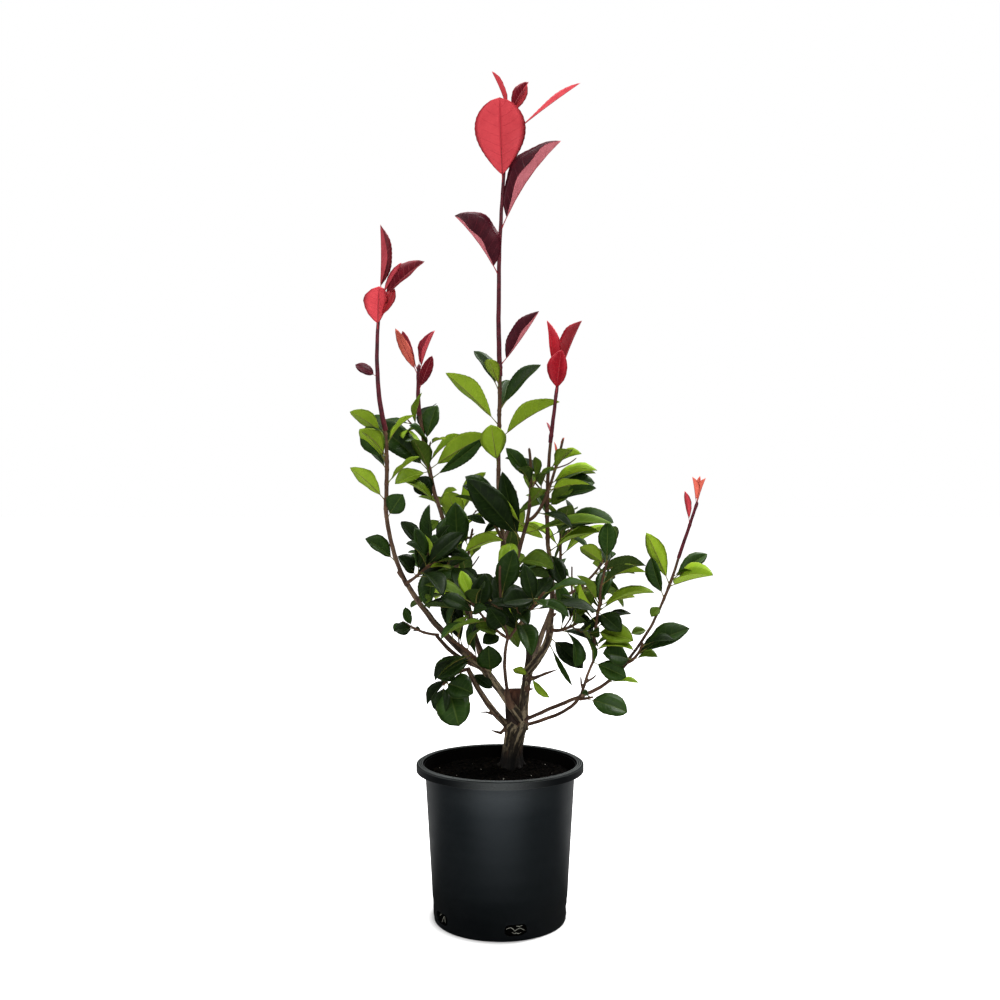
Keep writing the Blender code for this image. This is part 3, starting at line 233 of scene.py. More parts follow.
SHOOTS = (
    Shoot(Limb("leader_green", (-2, 22, 528), (0, 20, 651), (0, 3, 0), 2.6, 2.3),
          3, 50, 300, (50, 30), 49, 0, False, (
        Placed(0.50, (-66, -6, 63), 34, (50, 30), 22, 14, LIGHT),
        Placed(0.36, (75, -12, 43), 34, (140, 60), 34, 24, LIGHT),
        Placed(0.06, (-9, -16, 54), 34, (90, -6), 12, 16, LIGHT),
        Placed(0.83, (-33, 6, 50), 26, (310, 25), 20, 22, DARK),
        Placed(0.65, (52, 4, 55), 30, (230, 20), 22, 24, DARK))),
    Shoot(Limb("leader_red_tip", (0, 20, 653), (11, 12, 968), (-6, 2, -8), 2.3, 1.3),
          0, 0, 0, (0, 0), 1, 0, True, (
        Placed(0.77, (-9, -16, 90), 60, (95, -8), 8, 18, CORAL),
        Placed(1.00, (-22, -4, 49), 20, (10, 10), 45, 10, SCARLET),
        Placed(0.99, (24, 4, 39), 20, (250, 20), 50, 12, SCARLET),
        Placed(0.98, (15, -10, 40), 14, (60, 10), 50, 10, MAROON),
        Placed(0.91, (91, 10, 70), 30, (110, 40), 48, 14, CORAL),
        Placed(0.57, (70, -14, 104), 48, (205, 14), 42, 22, MAROON),
        Placed(0.40, (-54, -10, 70), 40, (330, 30), 24, 26, MAROON),
        Placed(0.03, (45, -10, 71), 32, (215, 16), 38, 16, SCARLET))),
    Shoot(Limb("left_green", (-132, -48, 492), (-133, -46, 580), (2, -3, 2), 2.5, 2.2),
          5, 46, 340, (52, 32), 120, 0, False, (
        Placed(0.02, (-39, -10, 44), 30, (60, 20), 20, 20, LIGHT),
        Placed(0.56, (-30, -16, 36), 28, (70, 15), 18, 18, LIGHT),
        Placed(0.97, (-41, -6, 29), 22, (60, 30), 26, 22, LIGHT),
        Placed(0.02, (22, -10, 21), 30, (300, 30), 14, 20, DARK))),
    Shoot(Limb("left_red_tip", (-133, -46, 582), (-139, -38, 739), (-6, -4, -10), 2.2, 1.3),
          0, 0, 0, (0, 0), 3, 0, True, (
        Placed(0.76, (6, -20, 45), 40, (100, -25), 16, 30, CORAL),
        Placed(0.98, (-1, 2, 85), 26, (20, 5), 48, 8, SCARLET),
        Placed(0.96, (50, 6, 46), 28, (150, 40), 46, 12, MAROON),
        Placed(0.97, (28, -10, 49), 14, (110, 20), 46, 10, ORANGE),
        Placed(0.41, (-23, 0, 15), 10, (300, 50), 20, 20, DARK))),
    Shoot(Limb("centre_left_green", (-80, 38, 505), (-99, 42, 604), (-2, 2, 2), 2.6, 2.3),
          7, 56, 240, (52, 32), 121, 0, False, (
        Placed(0.28, (-71, -20, 64), 36, (300, 35), 18, 24, DARK),
        Placed(0.35, (73, -10, 35), 34, (80, 35), 24, 34, LIGHT),
        Placed(0.59, (16, 6, 51), 30, (240, 10), 14, 14, DARK))),
    Shoot(Limb("centre_left_red_tip", (-100, 42, 606), (-100, 40, 664), (-1, 1, -3), 2.2, 1.5),
          0, 0, 0, (0, 0), 5, 0, True, (
        Placed(0.82, (-27, -8, 61), 28, (60, 20), 36, 12, CORAL),
        Placed(0.86, (21, 4, 54), 28, (150, 10), 42, 12, SCARLET),
        Placed(0.59, (14, -12, 35), 24, (100, 0), 24, 18, SCARLET),
        Placed(1.00, (1, 2, 33), 12, (80, 10), 46, 10, ORANGE))),
    Shoot(Limb("right_upper", (57, -6, 448), (60, -14, 568), (-2, 0, 3), 2.6, 1.9),
          8, 58, 100, (52, 32), 94, 0, False, (
        Placed(0.03, (78, -30, 21), 36, (290, 68), 26, 58, DARK),
        Placed(0.60, (60, 10, 7), 30, (250, 70), 28, 40, DARK))),
    Shoot(Limb("right_red_tip", (60, -14, 570), (69, -10, 644), (0, -2, -1), 1.8, 1.3),
          0, 0, 0, (0, 0), 7, 0, True, (
        Placed(0.81, (-11, 2, 83), 24, (30, 8), 42, 10, SCARLET),
        Placed(0.97, (28, 6, 72), 24, (150, 15), 44, 12, SCARLET),
        Placed(0.85, (7, -14, 40), 26, (95, 0), 18, 20, CORAL),
        Placed(0.03, (-6, -4, 16), 9, (40, 10), 30, 10, ORANGE))),
    Shoot(Limb("centre_right_up", (32, -28, 476), (34, -44, 557), (3, 2, -2), 2.2, 1.6),
          7, 46, 320, (50, 30), 144, 0, False, ()),
    Shoot(Limb("centre_right_out", (35, -28, 476), (72, -60, 568), (0, -2, -18), 2.2, 1.5),
          8, 46, 320, (50, 30), 47, 0, False, (
        Placed(0.96, (-2, 2, 17), 9, (40, 5), 44, 10, ORANGE),
        Placed(0.97, (7, -3, 14), 9, (130, 5), 44, 10, ORANGE))),
    Shoot(Limb("far_right_green", (190, -34, 380), (208, -36, 431), (0, -1, -2), 1.7, 1.6),
          1, 26, 0, (50, 36), 181, 0, False, (
        Placed(0.39, (46, -14, 14), 34, (95, 10), 12, 20, LIGHT),
        Placed(0.43, (-28, -4, 65), 24, (70, 10), 30, 16, LIGHT),
        Placed(0.07, (-14, 6, 48), 24, (230, 10), 22, 16, DARK),
        Placed(0.52, (45, 14, 30), 22, (250, 30), 20, 20, DARK))),
    Shoot(Limb("far_right_red_tip", (209, -36, 434), (230, -34, 495), (0, -1, 0), 1.6, 1.2),
          0, 0, 0, (0, 0), 11, 0, True, (
        Placed(0.97, (-6, -4, 33), 14, (40, 5), 44, 10, ORANGE),
        Placed(0.99, (5, 4, 34), 13, (90, 5), 46, 10, ORANGE),
        Placed(0.93, (12, -2, 34), 14, (140, 10), 44, 10, ORANGE),
        Placed(0.58, (-7, -6, 40), 12, (60, 5), 36, 12, SCARLET))),
    Shoot(Limb("far_right_low_leaves", (152, -32, 310), (164, -52, 333), (1, 0, -2), 1.7, 1.3),
          3, 40, 60, (50, 36), 126, 0, False, (
        Placed(0.49, (60, -14, 31), 32, (285, 45), 18, 28, DARK),
        Placed(0.04, (-37, -20, 10), 32, (270, 30), 12, 20, DARK))),
    Shoot(Limb("right_mid_leaves", (109, -35, 313), (116, -42, 381), (-2, 0, -2), 1.7, 1.5),
          8, 46, 340, (52, 34), 78, 0, False, (
        Placed(0.84, (65, -16, 20), 28, (280, 70), 28, 44, LIGHT),)),
    Shoot(Limb("right_mid_tip", (116, -42, 383), (124, -46, 427), (-2, -1, -1), 1.5, 1.3),
          2, 40, 320, (50, 36), 100, 0, False, (
        Placed(1.00, (1, -4, 49), 24, (265, 5), 16, 20, DARK),
        Placed(0.91, (-31, -8, 22), 24, (60, 20), 18, 18, LIGHT),
        Placed(0.95, (48, -10, -3), 24, (80, 60), 26, 34, LIGHT))),
    Shoot(Limb("low_right_leaf", (97, -20, 264), (108, -30, 268), (0, 0, 0), 1.7, 1.3),
          1, 18, 180, (50, 36), 52, 0, False, (
        Placed(0.58, (46, -12, -15), 28, (280, 50), 14, 24, DARK),)),
    Shoot(Limb("right_inner", (63, -6, 344), (91, -40, 357), (-2, 1, -4), 2.2, 1.5),
          6, 50, 340, (52, 34), 81, 0, False, ()),
    Shoot(Limb("front_centre", (9, -64, 343), (0, -112, 425), (-3, 2, -5), 1.7, 1.4),
          9, 58, 100, (52, 32), 82, 0, False, ()),
    Shoot(Limb("front_right", (11, -63, 342), (48, -104, 396), (-2, 3, -2), 1.6, 1.3),
          8, 56, 140, (52, 32), 174, 0, False, ()),
    Shoot(Limb("front_left", (7, -63, 342), (-32, -98, 386), (0, 2, -4), 1.6, 1.3),
          8, 56, 220, (52, 32), 91, 0, False, ()),
    Shoot(Limb("centre_left_low", (-56, 29, 421), (-90, -4, 437), (2, 0, -5), 2.2, 1.5),
          7, 56, 0, (52, 34), 43, 0, False, (
        Placed(0.26, (-42, -14, 23), 28, (80, 50), 26, 30, LIGHT),)),
    Shoot(Limb("centre_left_mid", (-53, 34, 423), (-48, 66, 486), (3, -2, -3), 2.2, 1.5),
          6, 58, 340, (52, 32), 170, 0, False, (
        Placed(0.05, (3, -10, 73), 32, (275, 5), 14, 16, DARK),
        Placed(0.12, (53, -50, 26), 28, (90, 50), 26, 44, LIGHT))),
    Shoot(Limb("left_mid", (-108, -40, 403), (-82, -66, 424), (-2, 2, -3), 2.0, 1.4),
          7, 50, 80, (52, 34), 101, 0, False, ()),
    Shoot(Limb("fork_sprout", (34, 3, 289), (37, -7, 285), (0, 0, 1), 1.4, 1.1),
          0, 0, 0, (0, 0), 24, 0, False, (
        Placed(0.80, (20, -8, -22), 11, (200, 30), 30, 20, LIGHT),
        Placed(0.90, (-20, -4, 6), 12, (90, 50), 14, 20, LIGHT))),
    Shoot(Limb("left_low_small", (-77, 14, 336), (-117, 22, 350), (0, 0, -3), 1.8, 1.2),
          2, 20, 100, (50, 36), 109, 0, False, (
        Placed(1.00, (-13, -4, -10), 15, (280, 50), 14, 20, DARK),
        Placed(0.89, (-3, -4, 22), 12, (300, 30), 20, 20, DARK))),
    Shoot(Limb("left_inner", (-18, -5, 296), (-56, -40, 336), (0, 1, 4), 2.2, 1.5),
          6, 52, 80, (52, 34), 124, 0, False, (
        Placed(0.32, (-43, -14, -23), 32, (285, 50), 16, 30, DARK),)),
    Shoot(Limb("far_left_low", (-39, 2, 296), (-66, -26, 283), (0, 1, 3), 2.2, 1.5),
          4, 44, 320, (52, 34), 195, 0, False, (
        Placed(0.18, (-35, -16, -5), 34, (280, 35), 14, 24, DARK),
        Placed(0.87, (18, -20, -54), 30, (330, 10), 26, 34, DARK))),
    Shoot(Limb("leader_side_left", (3, 21, 450), (-19, -24, 501), (-1, -2, 0), 2.2, 1.5),
          6, 56, 40, (52, 34), 35, 0, False, (
        Placed(0.50, (-35, -18, 50), 40, (290, 50), 14, 34, DARK),)),
    Shoot(Limb("leader_side_back", (5, 27, 450), (20, 76, 509), (2, -1, -2), 2.2, 1.5),
          8, 60, 40, (52, 32), 183, 0, False, ()),
    Shoot(Limb("back_right_up", (72, 97, 375), (78, 112, 473), (3, 5, -4), 2.4, 1.6),
          8, 60, 320, (52, 32), 128, 1, False, ()),
    Shoot(Limb("back_right_out", (73, 96, 374), (136, 126, 420), (1, 1, -10), 2.2, 1.5),
          8, 56, 0, (52, 32), 45, 1, False, ()),
    Shoot(Limb("back_left_up", (-41, 97, 370), (-36, 118, 460), (-4, 4, -4), 2.4, 1.6),
          8, 60, 260, (52, 32), 165, 1, False, ()),
    Shoot(Limb("back_left_out", (-43, 97, 369), (-99, 124, 407), (2, 2, -8), 2.2, 1.5),
          8, 56, 220, (52, 32), 131, 1, False, ()),
    Shoot(Limb("back_middle", (-39, 98, 370), (16, 146, 406), (-2, 3, -4), 2.0, 1.5),
          8, 58, 260, (52, 32), 153, 1, False, ()),
)




class Spur(NamedTuple):
    """A broken stub or bare side twig: the limb and share where it starts, then steps from there, in mm."""

    limb: str
    along: float
    steps: tuple[Triple, ...]
    radii: tuple[float, ...]


# Broken stubs: left of the fork, on the right stem, and at the joint of the low right pair
SPURS = (
    Spur("far_left_stub", 0.24, ((-7, -2, 2), (-13, -3, 4), (-21, -4, 4)), (2.2, 1.9, 1.3, 0.6)),
    Spur("far_left_stub", 0.0, ((-8, -5, -8), (-14, -7, -6), (-20, -8, -4)), (2.6, 2.2, 1.5, 0.7)),
    Spur("right_stem", 0.84, ((9, -3, 2), (16, -5, 5), (23, -6, 8), (37, -8, 13)), (3.0, 2.6, 1.9, 1.9, 0.7)),
    Spur("right_stem", 0.70, ((5, -3, -3), (9, -4, -2)), (2.6, 1.8, 0.9)),
    Spur("right_mid_twig", 0.20, ((-2, -3, 5), (-3, -4, 15)), (1.8, 1.4, 1.0)),
    Spur("right_mid_twig", 0.38, ((4, -2, 3), (9, -3, 6), (13, -4, 10)), (1.7, 1.5, 1.3, 1.0)),
    Spur("right_mid_twig", 0.0, ((2, -1, 1), (6, -3, 2)), (3.4, 3.6, 1.6)),
    Spur("right_bough", 0.97, ((0, -1, 1), (1, -2, 5)), (3.8, 4.6, 3.0)),
    Spur("right_bough_upper", 0.12, ((3, -2, 2), (6, -3, 4)), (2.6, 2.0, 1.0)),
    Spur("left_limb_upper", 0.05, ((-4, -2, 4), (-8, -3, 9)), (2.2, 1.7, 0.9)),
)

# Pale root threads in the drain holes: the hole, then places across and up from its middle, in mm
ROOT_THREADS = (
    (0, ((-11, 1.4), (-8, 2.6), (-5.3, 3.0), (-2.5, 0.8), (-0.7, -1.4), (2, 0.6), (5, 1.8), (8, 0.2),
         (10.8, -1.2))),
    (0, ((-4, -2.6), (-1.5, -4.2), (1, -3.6), (3.5, -4.6), (6.5, -3.4))),
    (0, ((1, 4.2), (4, 3.4), (8, 4.4))),
    (4, ((-1, -4.5), (1, -1), (3.2, 2.6), (4.6, 3.4), (5.6, 0), (7, -3.6))),
    (4, ((-6, 1), (-4, 3), (-1.5, 3.8))),
)

# Strands of old wood that swell the front of the trunk, as points and radii in mm
STRANDS = (
    (((13, 19, 171), (15, 18, 186), (19, 16, 204), (26, 13, 222), (29, 13, 234)), (6.4, 6.2, 6.2, 6.0, 5.2)),
    (((7, 24, 171), (9, 23, 190), (11, 21, 208), (14, 18, 220), (18, 15, 228)), (6.2, 6.0, 6.2, 6.2, 5.0)),
)

# Large leaves that the photo shows, beyond those of the solids, by the limb that bears them
EXTRA_LEAVES = {
    "centre_right_stem": (
        Placed(0.75, (-65, -34, 72), 38, (270, 12), 14, 18, DEEP),
        Placed(0.65, (-21, -6, 90), 24, (268, 5), 16, 14, DEEP),
        Placed(0.92, (-58, -20, 42), 24, (215, 62), 38, 22, LIGHT),
        Placed(0.37, (46, -52, -6), 32, (240, 55), 22, 56, OLIVE),
        Placed(0.84, (102, -38, 10), 24, (266, 60), 24, 26, OLIVE)),
    "right_bough_upper": (
        Placed(0.92, (59, -40, 22), 26, (262, 62), 26, 30, LIGHT),
        Placed(0.94, (17, -30, -41), 24, (262, 15), 18, 24, DEEP),
        Placed(0.25, (21, -20, 2), 16, (262, 50), 24, 24, LIGHT)),
    "right_upper": (
        Placed(0.32, (32, -20, 25), 27, (262, 30), 22, 24, OLIVE),
        Placed(0.40, (56, -36, 13), 27, (262, 38), 22, 14, DARK),
        Placed(0.54, (59, -14, 15), 26, (250, 62), 34, 40, LIGHT),
        Placed(0.70, (39, -28, 16), 24, (250, 60), 34, 34, LIGHT)),
    "centre_right_up": (
        Placed(0.57, (-30, -14, 39), 22, (250, 35), 28, 26, DARK),),
    "centre_left_stem": (
        Placed(0.97, (27, -20, -23), 24, (262, 20), 16, 24, DEEP),
        Placed(0.77, (-47, -34, -2), 28, (275, 52), 26, 26, DEEP),
        Placed(0.83, (73, -70, -55), 32, (242, 40), 32, 28, DEEP),
        Placed(0.44, (-20, -30, 14), 22, (262, 40), 20, 26, OLIVE)),
    "front_left": (
        Placed(0.92, (-15, 12, 38), 16, (262, 20), 14, 20, LIGHT),
        Placed(0.80, (8, -14, 43), 26, (268, 10), 14, 18, DEEP),
        Placed(0.13, (-31, -20, 10), 26, (262, 40), 18, 26, OLIVE),
        Placed(0.10, (-23, -16, -8), 20, (262, 30), 18, 22, DEEP)),
    "front_centre": (
        Placed(0.59, (15, -16, 59), 30, (268, 15), 18, 22, DARK),
        Placed(0.12, (-20, -30, 31), 30, (250, 28), 20, 26, DEEP)),
    "front_right": (
        Placed(0.89, (-42, -22, -4), 34, (270, 38), 20, 26, DEEP),),
    "left_limb": (
        Placed(0.85, (-3, -20, 43), 33, (268, 16), 14, 20, DARK),),
    "left_limb_middle": (
        Placed(0.79, (16, -8, 8), 14, (262, 30), 20, 20, OLIVE),),
    "right_mid_leaves": (
        Placed(0.81, (-21, -22, 38), 24, (222, 48), 38, 20, LIGHT),
        Placed(0.84, (25, -24, -21), 26, (262, 24), 18, 28, DEEP),
        Placed(0.51, (42, -28, -8), 30, (262, 34), 18, 26, LIGHT),
        Placed(0.16, (44, -30, 2), 22, (262, 62), 30, 52, LIGHT)),
    "far_right_low_leaves": (
        Placed(0.06, (28, -20, 4), 18, (270, 55), 26, 34, OLIVE),),
    "far_right_upper": (
        Placed(0.99, (-13, -8, -14), 14, (262, 30), 20, 24, OLIVE),
        Placed(0.53, (-22, -8, -4), 13, (262, 30), 20, 20, OLIVE)),
    "far_left_low": (
        Placed(0.96, (35, -24, -9), 35, (262, 28), 16, 28, DARK),
        Placed(1.00, (-4, -14, -35), 26, (262, 15), 18, 26, DEEP)),
    "left_low_small": (
        Placed(0.67, (-24, -10, -1), 18, (268, 20), 12, 20, DEEP),
        Placed(0.74, (-10, -6, 24), 12, (262, 30), 20, 20, DARK)),
    "right_bough": (
        Placed(0.75, (39, -26, -35), 27, (262, 25), 18, 24, DEEP),
        Placed(0.64, (29, -12, -52), 8, (240, 25), 26, 14, DARK)),
    "right_mid_twig": (
        Placed(1.00, (38, -12, -16), 26, (268, 15), 18, 22, DARK),),
    "far_right_low": (
        Placed(0.52, (36, -10, -1), 12, (265, 62), 24, 24, LIGHT),),
    "far_left_stub": (
        Placed(0.99, (28, -8, -20), 17, (265, 30), 20, 22, DEEP),),
    "centre_left_green": (
        Placed(0.19, (65, -16, 50), 20, (300, -5), 22, 12, DARK),
        Placed(0.28, (-41, -20, -17), 26, (262, 35), 20, 22, LIGHT)),
    "left_limb_upper": (
        Placed(0.88, (20, -12, 28), 27, (268, 10), 14, 16, DARK),
        Placed(0.30, (-37, -14, 28), 28, (285, 40), 22, 22, DARK)),
    "centre_left_upper": (
        Placed(0.88, (-44, -14, 28), 21, (222, 50), 36, 24, LIGHT),
        Placed(0.91, (-26, 8, 31), 28, (268, 8), 14, 18, DEEP),
        Placed(0.94, (26, -16, 12), 17, (262, 55), 22, 26, LIGHT),
        Placed(0.69, (-21, -10, -19), 18, (262, 25), 20, 24, OLIVE)),
    "centre_left_mid": (
        Placed(0.91, (30, -14, -11), 14, (262, 40), 22, 24, DARK),),
    "left_mid": (
        Placed(0.52, (-21, -18, 24), 24, (262, 40), 20, 26, DEEP),),
    "left_red_tip": (
        Placed(0.82, (19, 3, 40), 17, (262, 10), 14, 10, CORAL),),
    "centre_left_red_tip": (
        Placed(0.88, (-21, 16, 54), 15, (262, -10), 30, 12, CRIMSON),),
}


class Reshape(NamedTuple):
    """How a set leaf looks closer to the photo than its plain solid: a row in its place, and its outline."""

    call: Placed
    skew: float = BLADE_SKEW
    fullness: float = OUTLINE_FULLNESS


# Set leaves that are given a closer look, by their stem and their row there
RESHAPED = {
    ("leader_red_tip", 0): Reshape(Placed(0.73, (-4, -24, 102), 62, (92, -14), 4, 6, CORAL), 1.4, 0.58),
    ("leader_red_tip", 1): Reshape(Placed(1.00, (-22, -4, 49), 15, (10, 10), 40, 14, CORAL), 0.95, 0.7),
    ("leader_red_tip", 2): Reshape(Placed(0.99, (24, 4, 41), 21, (255, 16), 50, 12, CRIMSON), 1.0, 0.75),
    ("leader_red_tip", 3): Reshape(Placed(0.98, (22, -8, 38), 14, (60, 10), 46, 10, SCARLET), 1.2, 0.8),
    ("leader_red_tip", 4): Reshape(Placed(0.91, (91, 10, 70), 15, (110, 40), 62, 10, SCARLET), 1.9, 0.8),
    ("leader_red_tip", 5): Reshape(Placed(0.57, (76, -14, 103), 60, (214, 26), 47, 26, MAROON), 1.1, 0.68),
    ("leader_red_tip", 6): Reshape(Placed(0.40, (-55, -10, 69), 60, (300, 34), 49, 24, MAROON), 1.05, 0.58),
    ("leader_red_tip", 7): Reshape(Placed(0.03, (47, -10, 66), 36, (222, 14), 52, -10, MAROON), 1.0, 0.72),
    ("left_red_tip", 0): Reshape(Placed(0.76, (4, -20, 49), 34, (116, -22), 28, 8, CORAL), 1.28, 0.62),
    ("left_red_tip", 1): Reshape(Placed(0.98, (-1, 2, 85), 28, (337, 5), 60, 8, CRIMSON), 1.0, 0.8),
    ("left_red_tip", 2): Reshape(Placed(0.96, (52, 6, 46), 30, (262, 30), 44, 14, CRIMSON), 1.15, 0.8),
    ("left_red_tip", 3): Reshape(Placed(0.97, (26, -10, 40), 12, (110, 20), 50, 10, CRIMSON)),
    ("left_red_tip", 4): Reshape(Placed(0.44, (-26, 0, 14), 14, (275, 25), 14, 16, MAROON), 1.0, 0.6),
    ("centre_left_red_tip", 0): Reshape(Placed(0.82, (-28, -8, 58), 13, (92, 5), 14, 8, ORANGE), 1.0, 0.8),
    ("centre_left_red_tip", 1): Reshape(Placed(0.86, (21, 4, 54), 24, (212, 12), 56, 12, CRIMSON), 1.1, 0.8),
    ("centre_left_red_tip", 2): Reshape(Placed(0.50, (18, -12, 44), 17, (274, 0), 36, 18, CRIMSON), 1.1, 0.7),
    ("centre_left_red_tip", 3): Reshape(Placed(1.00, (1, 2, 33), 8, (80, 10), 50, 10, ORANGE)),
    ("right_red_tip", 0): Reshape(Placed(0.81, (-12, 2, 83), 22, (300, 8), 44, 10, SCARLET), 1.25, 0.8),
    ("right_red_tip", 1): Reshape(Placed(0.97, (30, 6, 71), 32, (222, 14), 50, 12, SCARLET), 1.2, 0.8),
    ("right_red_tip", 2): Reshape(Placed(0.74, (6, -14, 52), 35, (258, 0), 46, 14, SCARLET), 1.1, 0.8),
    ("right_red_tip", 3): Reshape(Placed(0.03, (-6, -4, 16), 5, (40, 10), 30, 10, MAROON)),
    ("centre_right_out", 0): Reshape(Placed(0.80, (-3, -2, 28), 5, (40, 5), 44, 10, ORANGE)),
    ("centre_right_out", 1): Reshape(Placed(0.90, (6, -5, 18), 5, (130, 5), 44, 10, ORANGE)),
    ("fork_sprout", 1): Reshape(Placed(0.10, (-20, -6, 9), 14, (90, 40), 14, 16, LIGHT)),
    ("fork_sprout", 0): Reshape(Placed(0.30, (24, -9, -24), 13, (210, 20), 34, 14, LIGHT)),
    ("left_green", 3): Reshape(Placed(0.52, (-25, 6, 44), 30, (262, 10), 14, 18, DARK)),
    ("left_green", 2): Reshape(Placed(0.92, (-41, -8, 26), 25, (60, 25), 24, 22, LIGHT)),
    ("left_green", 0): Reshape(Placed(0.02, (-41, -10, 38), 25, (60, 20), 20, 20, LIGHT)),
    ("centre_left_green", 0): Reshape(Placed(0.28, (-71, -20, 62), 38, (285, 14), 20, 20, DARK)),
    ("centre_left_green", 1): Reshape(Placed(0.30, (73, -10, 40), 34, (80, 35), 24, 34, LIGHT)),
    ("leader_green", 1): Reshape(Placed(0.36, (75, -12, 43), 41, (140, 60), 34, 24, LIGHT), 1.1, 0.7),
    ("right_upper", 0): Reshape(Placed(0.03, (77, -30, 15), 46, (286, 62), 26, 40, DARK), 1.2, 0.66),
    ("right_upper", 1): Reshape(Placed(0.52, (57, 8, 4), 28, (262, 50), 24, 30, DARK), 1.1, 0.72),
    ("far_right_green", 0): Reshape(Placed(0.39, (44, -44, 15), 44, (262, 64), 42, 14, LIGHT), 0.95, 0.78),
    ("far_right_green", 1): Reshape(Placed(0.43, (-28, -4, 61), 24, (70, 10), 28, 16, LIGHT)),
    ("centre_left_mid", 1): Reshape(Placed(0.12, (54, -50, 19), 28, (90, 50), 26, 40, LIGHT)),
    ("centre_left_mid", 0): Reshape(Placed(0.05, (-3, -10, 70), 32, (275, 5), 14, 16, DARK)),
    ("right_mid_tip", 2): Reshape(Placed(0.60, (49, -10, 6), 26, (80, 62), 26, 26, LIGHT)),
    ("far_left_low", 1): Reshape(Placed(0.87, (15, -20, -50), 42, (268, 12), 18, 22, DARK), 1.2, 0.6),
    ("low_right_leaf", 0): Reshape(Placed(0.30, (48, -12, -15), 32, (272, 40), 14, 22, DARK), 1.1, 0.66),
}

# Leaves of the rule, by their number, that the photo shows darker than they were dealt
RETINTED = {67: DARK, 81: DARK, 82: DEEP, 200: DEEP}

# Where the photo shows sky through the crown: the place across and up, and the radius, in mm
SKY_GAPS = (
    (43, 585, 15), (105, 580, 24), (45, 563, 10), (77, 588, 9), (19, 573, 9), (-120, 619, 16), (-74, 628, 14),
    (-31, 461, 8), (-17, 420, 9), (-17, 437, 8), (-34, 489, 7), (-19, 540, 8), (19, 513, 9), (24, 499, 7),
    (5, 540, 6), (91, 422, 12), (105, 413, 7), (41, 444, 8), (79, 437, 7), (46, 355, 7), (-84, 319, 15),
    (-141, 413, 14), (108, 545, 7), (-62, 585, 7), (-62, 518, 7), (-108, 415, 5), (151, 348, 6), (71, 571, 8),
    (-84, 298, 7), (150, 505, 22), (60, 520, 5), (-46, 363, 5), (50, 552, 6), (-36, 540, 5), (152, 348, 7),
)

def curve_points(limb: Limb) -> tuple[Vector, Vector, Vector]:
    """The foot, the point that draws the middle aside, and the tip of a limb's curve, in mm."""
    foot, tip = Vector(limb.foot), Vector(limb.tip)
    return foot, (foot + tip) / 2 + 2 * Vector(limb.bow), tip


def point_on(limb: Limb, along: float) -> Vector:
    """The point of a limb's curve at a share of its length, in mm; below 0 it runs back from the foot."""
    foot, middle, tip = curve_points(limb)
    if along < 0:
        return foot + (middle - foot) * 2 * along
    return foot * (1 - along) ** 2 + middle * 2 * along * (1 - along) + tip * along**2


def heading_on(limb: Limb, along: float) -> Vector:
    """The direction of a limb's curve at a share of its length."""
    foot, middle, tip = curve_points(limb)
    along = max(along, 0.0)
    return ((middle - foot) * (1 - along) + (tip - middle) * along).normalized()


def radius_on(limb: Limb, along: float) -> float:
    """The radius of a limb at a share of its length, in mm."""
    return limb.foot_radius + (limb.tip_radius - limb.foot_radius) * max(along, 0.0)


def span_of(limb: Limb) -> float:
    """The straight distance from a limb's foot to its tip, in mm."""
    return (Vector(limb.tip) - Vector(limb.foot)).length


def across(axis: Vector) -> tuple[Vector, Vector]:
    """Two directions at right angles to an axis: the first lies near +X, or near +Z on a level axis."""
    aim = Vector((1, 0, 0)) if abs(axis.x) < 0.85 else Vector((0, 0, 1))
    first = (aim - axis * aim.dot(axis)).normalized()
    return first, axis.cross(first)


def out_from(axis: Vector, angle: float) -> Vector:
    """The direction at right angles to an axis that an angle about it gives."""
    first, second = across(axis)
    return first * math.cos(angle) + second * math.sin(angle)


def tube(limb: Limb, sides: int, rows: int) -> Skin:
    """The plain skin of a limb, which new leaves are tried against.

    Args:
        limb: the limb.
        sides: how many sides its section has.
        rows: how many stretches it is cut into.

    Returns:
        Its points in mm and its faces.
    """
    points = []
    for row in range(rows + 1):
        share = row / rows
        axis = heading_on(limb, share)
        points += [point_on(limb, share) + out_from(axis, 2 * math.pi * k / sides) * radius_on(limb, share)
                   for k in range(sides)]
    pairs = [(near, k, (k + 1) % sides) for near in range(0, rows * sides, sides) for k in range(sides)]
    faces = [(near + k, near + after, near + sides + after, near + sides + k) for near, k, after in pairs]
    return points, [*faces, tuple(reversed(range(sides))), tuple(rows * sides + k for k in range(sides))]


def half_width(leaf: Leaf, along: float) -> float:
    """Half the blade's width at a share of its length."""
    return leaf.width / 2 * math.sin(math.pi * along**OUTLINE_SKEW) ** OUTLINE_FULLNESS


def stalk_way(chord: Vector, normal: Vector, bend: float) -> Vector:
    """The direction in which the stalk of a blade leaves its stem. bend is in degrees."""
    half = math.radians(bend) / 2
    return chord * math.cos(half) + normal * math.sin(half)


def blade_frame(leaf: Leaf) -> tuple[Vector, Vector]:
    """Where the blade begins, and the direction in which its stalk leaves the stem."""
    start = stalk_way(leaf.chord, leaf.normal, leaf.bend)
    return leaf.root + start * (leaf.inside + leaf.petiole), start


def midrib(leaf: Leaf, along: float) -> tuple[Vector, Vector]:
    """The point of the midrib at a share of the blade, and the upper side's normal there."""
    base, _ = blade_frame(leaf)
    turn = math.radians(leaf.bend)
    angle = turn * (along - 0.5)
    forward = (math.sin(angle) + math.sin(turn / 2)) / (2 * math.sin(turn / 2))
    up = (math.cos(angle) - math.cos(turn / 2)) / (2 * math.sin(turn / 2))
    point = base + (leaf.chord * forward + leaf.normal * up) * leaf.length
    return point, leaf.normal * math.cos(angle) + leaf.chord * math.sin(angle)


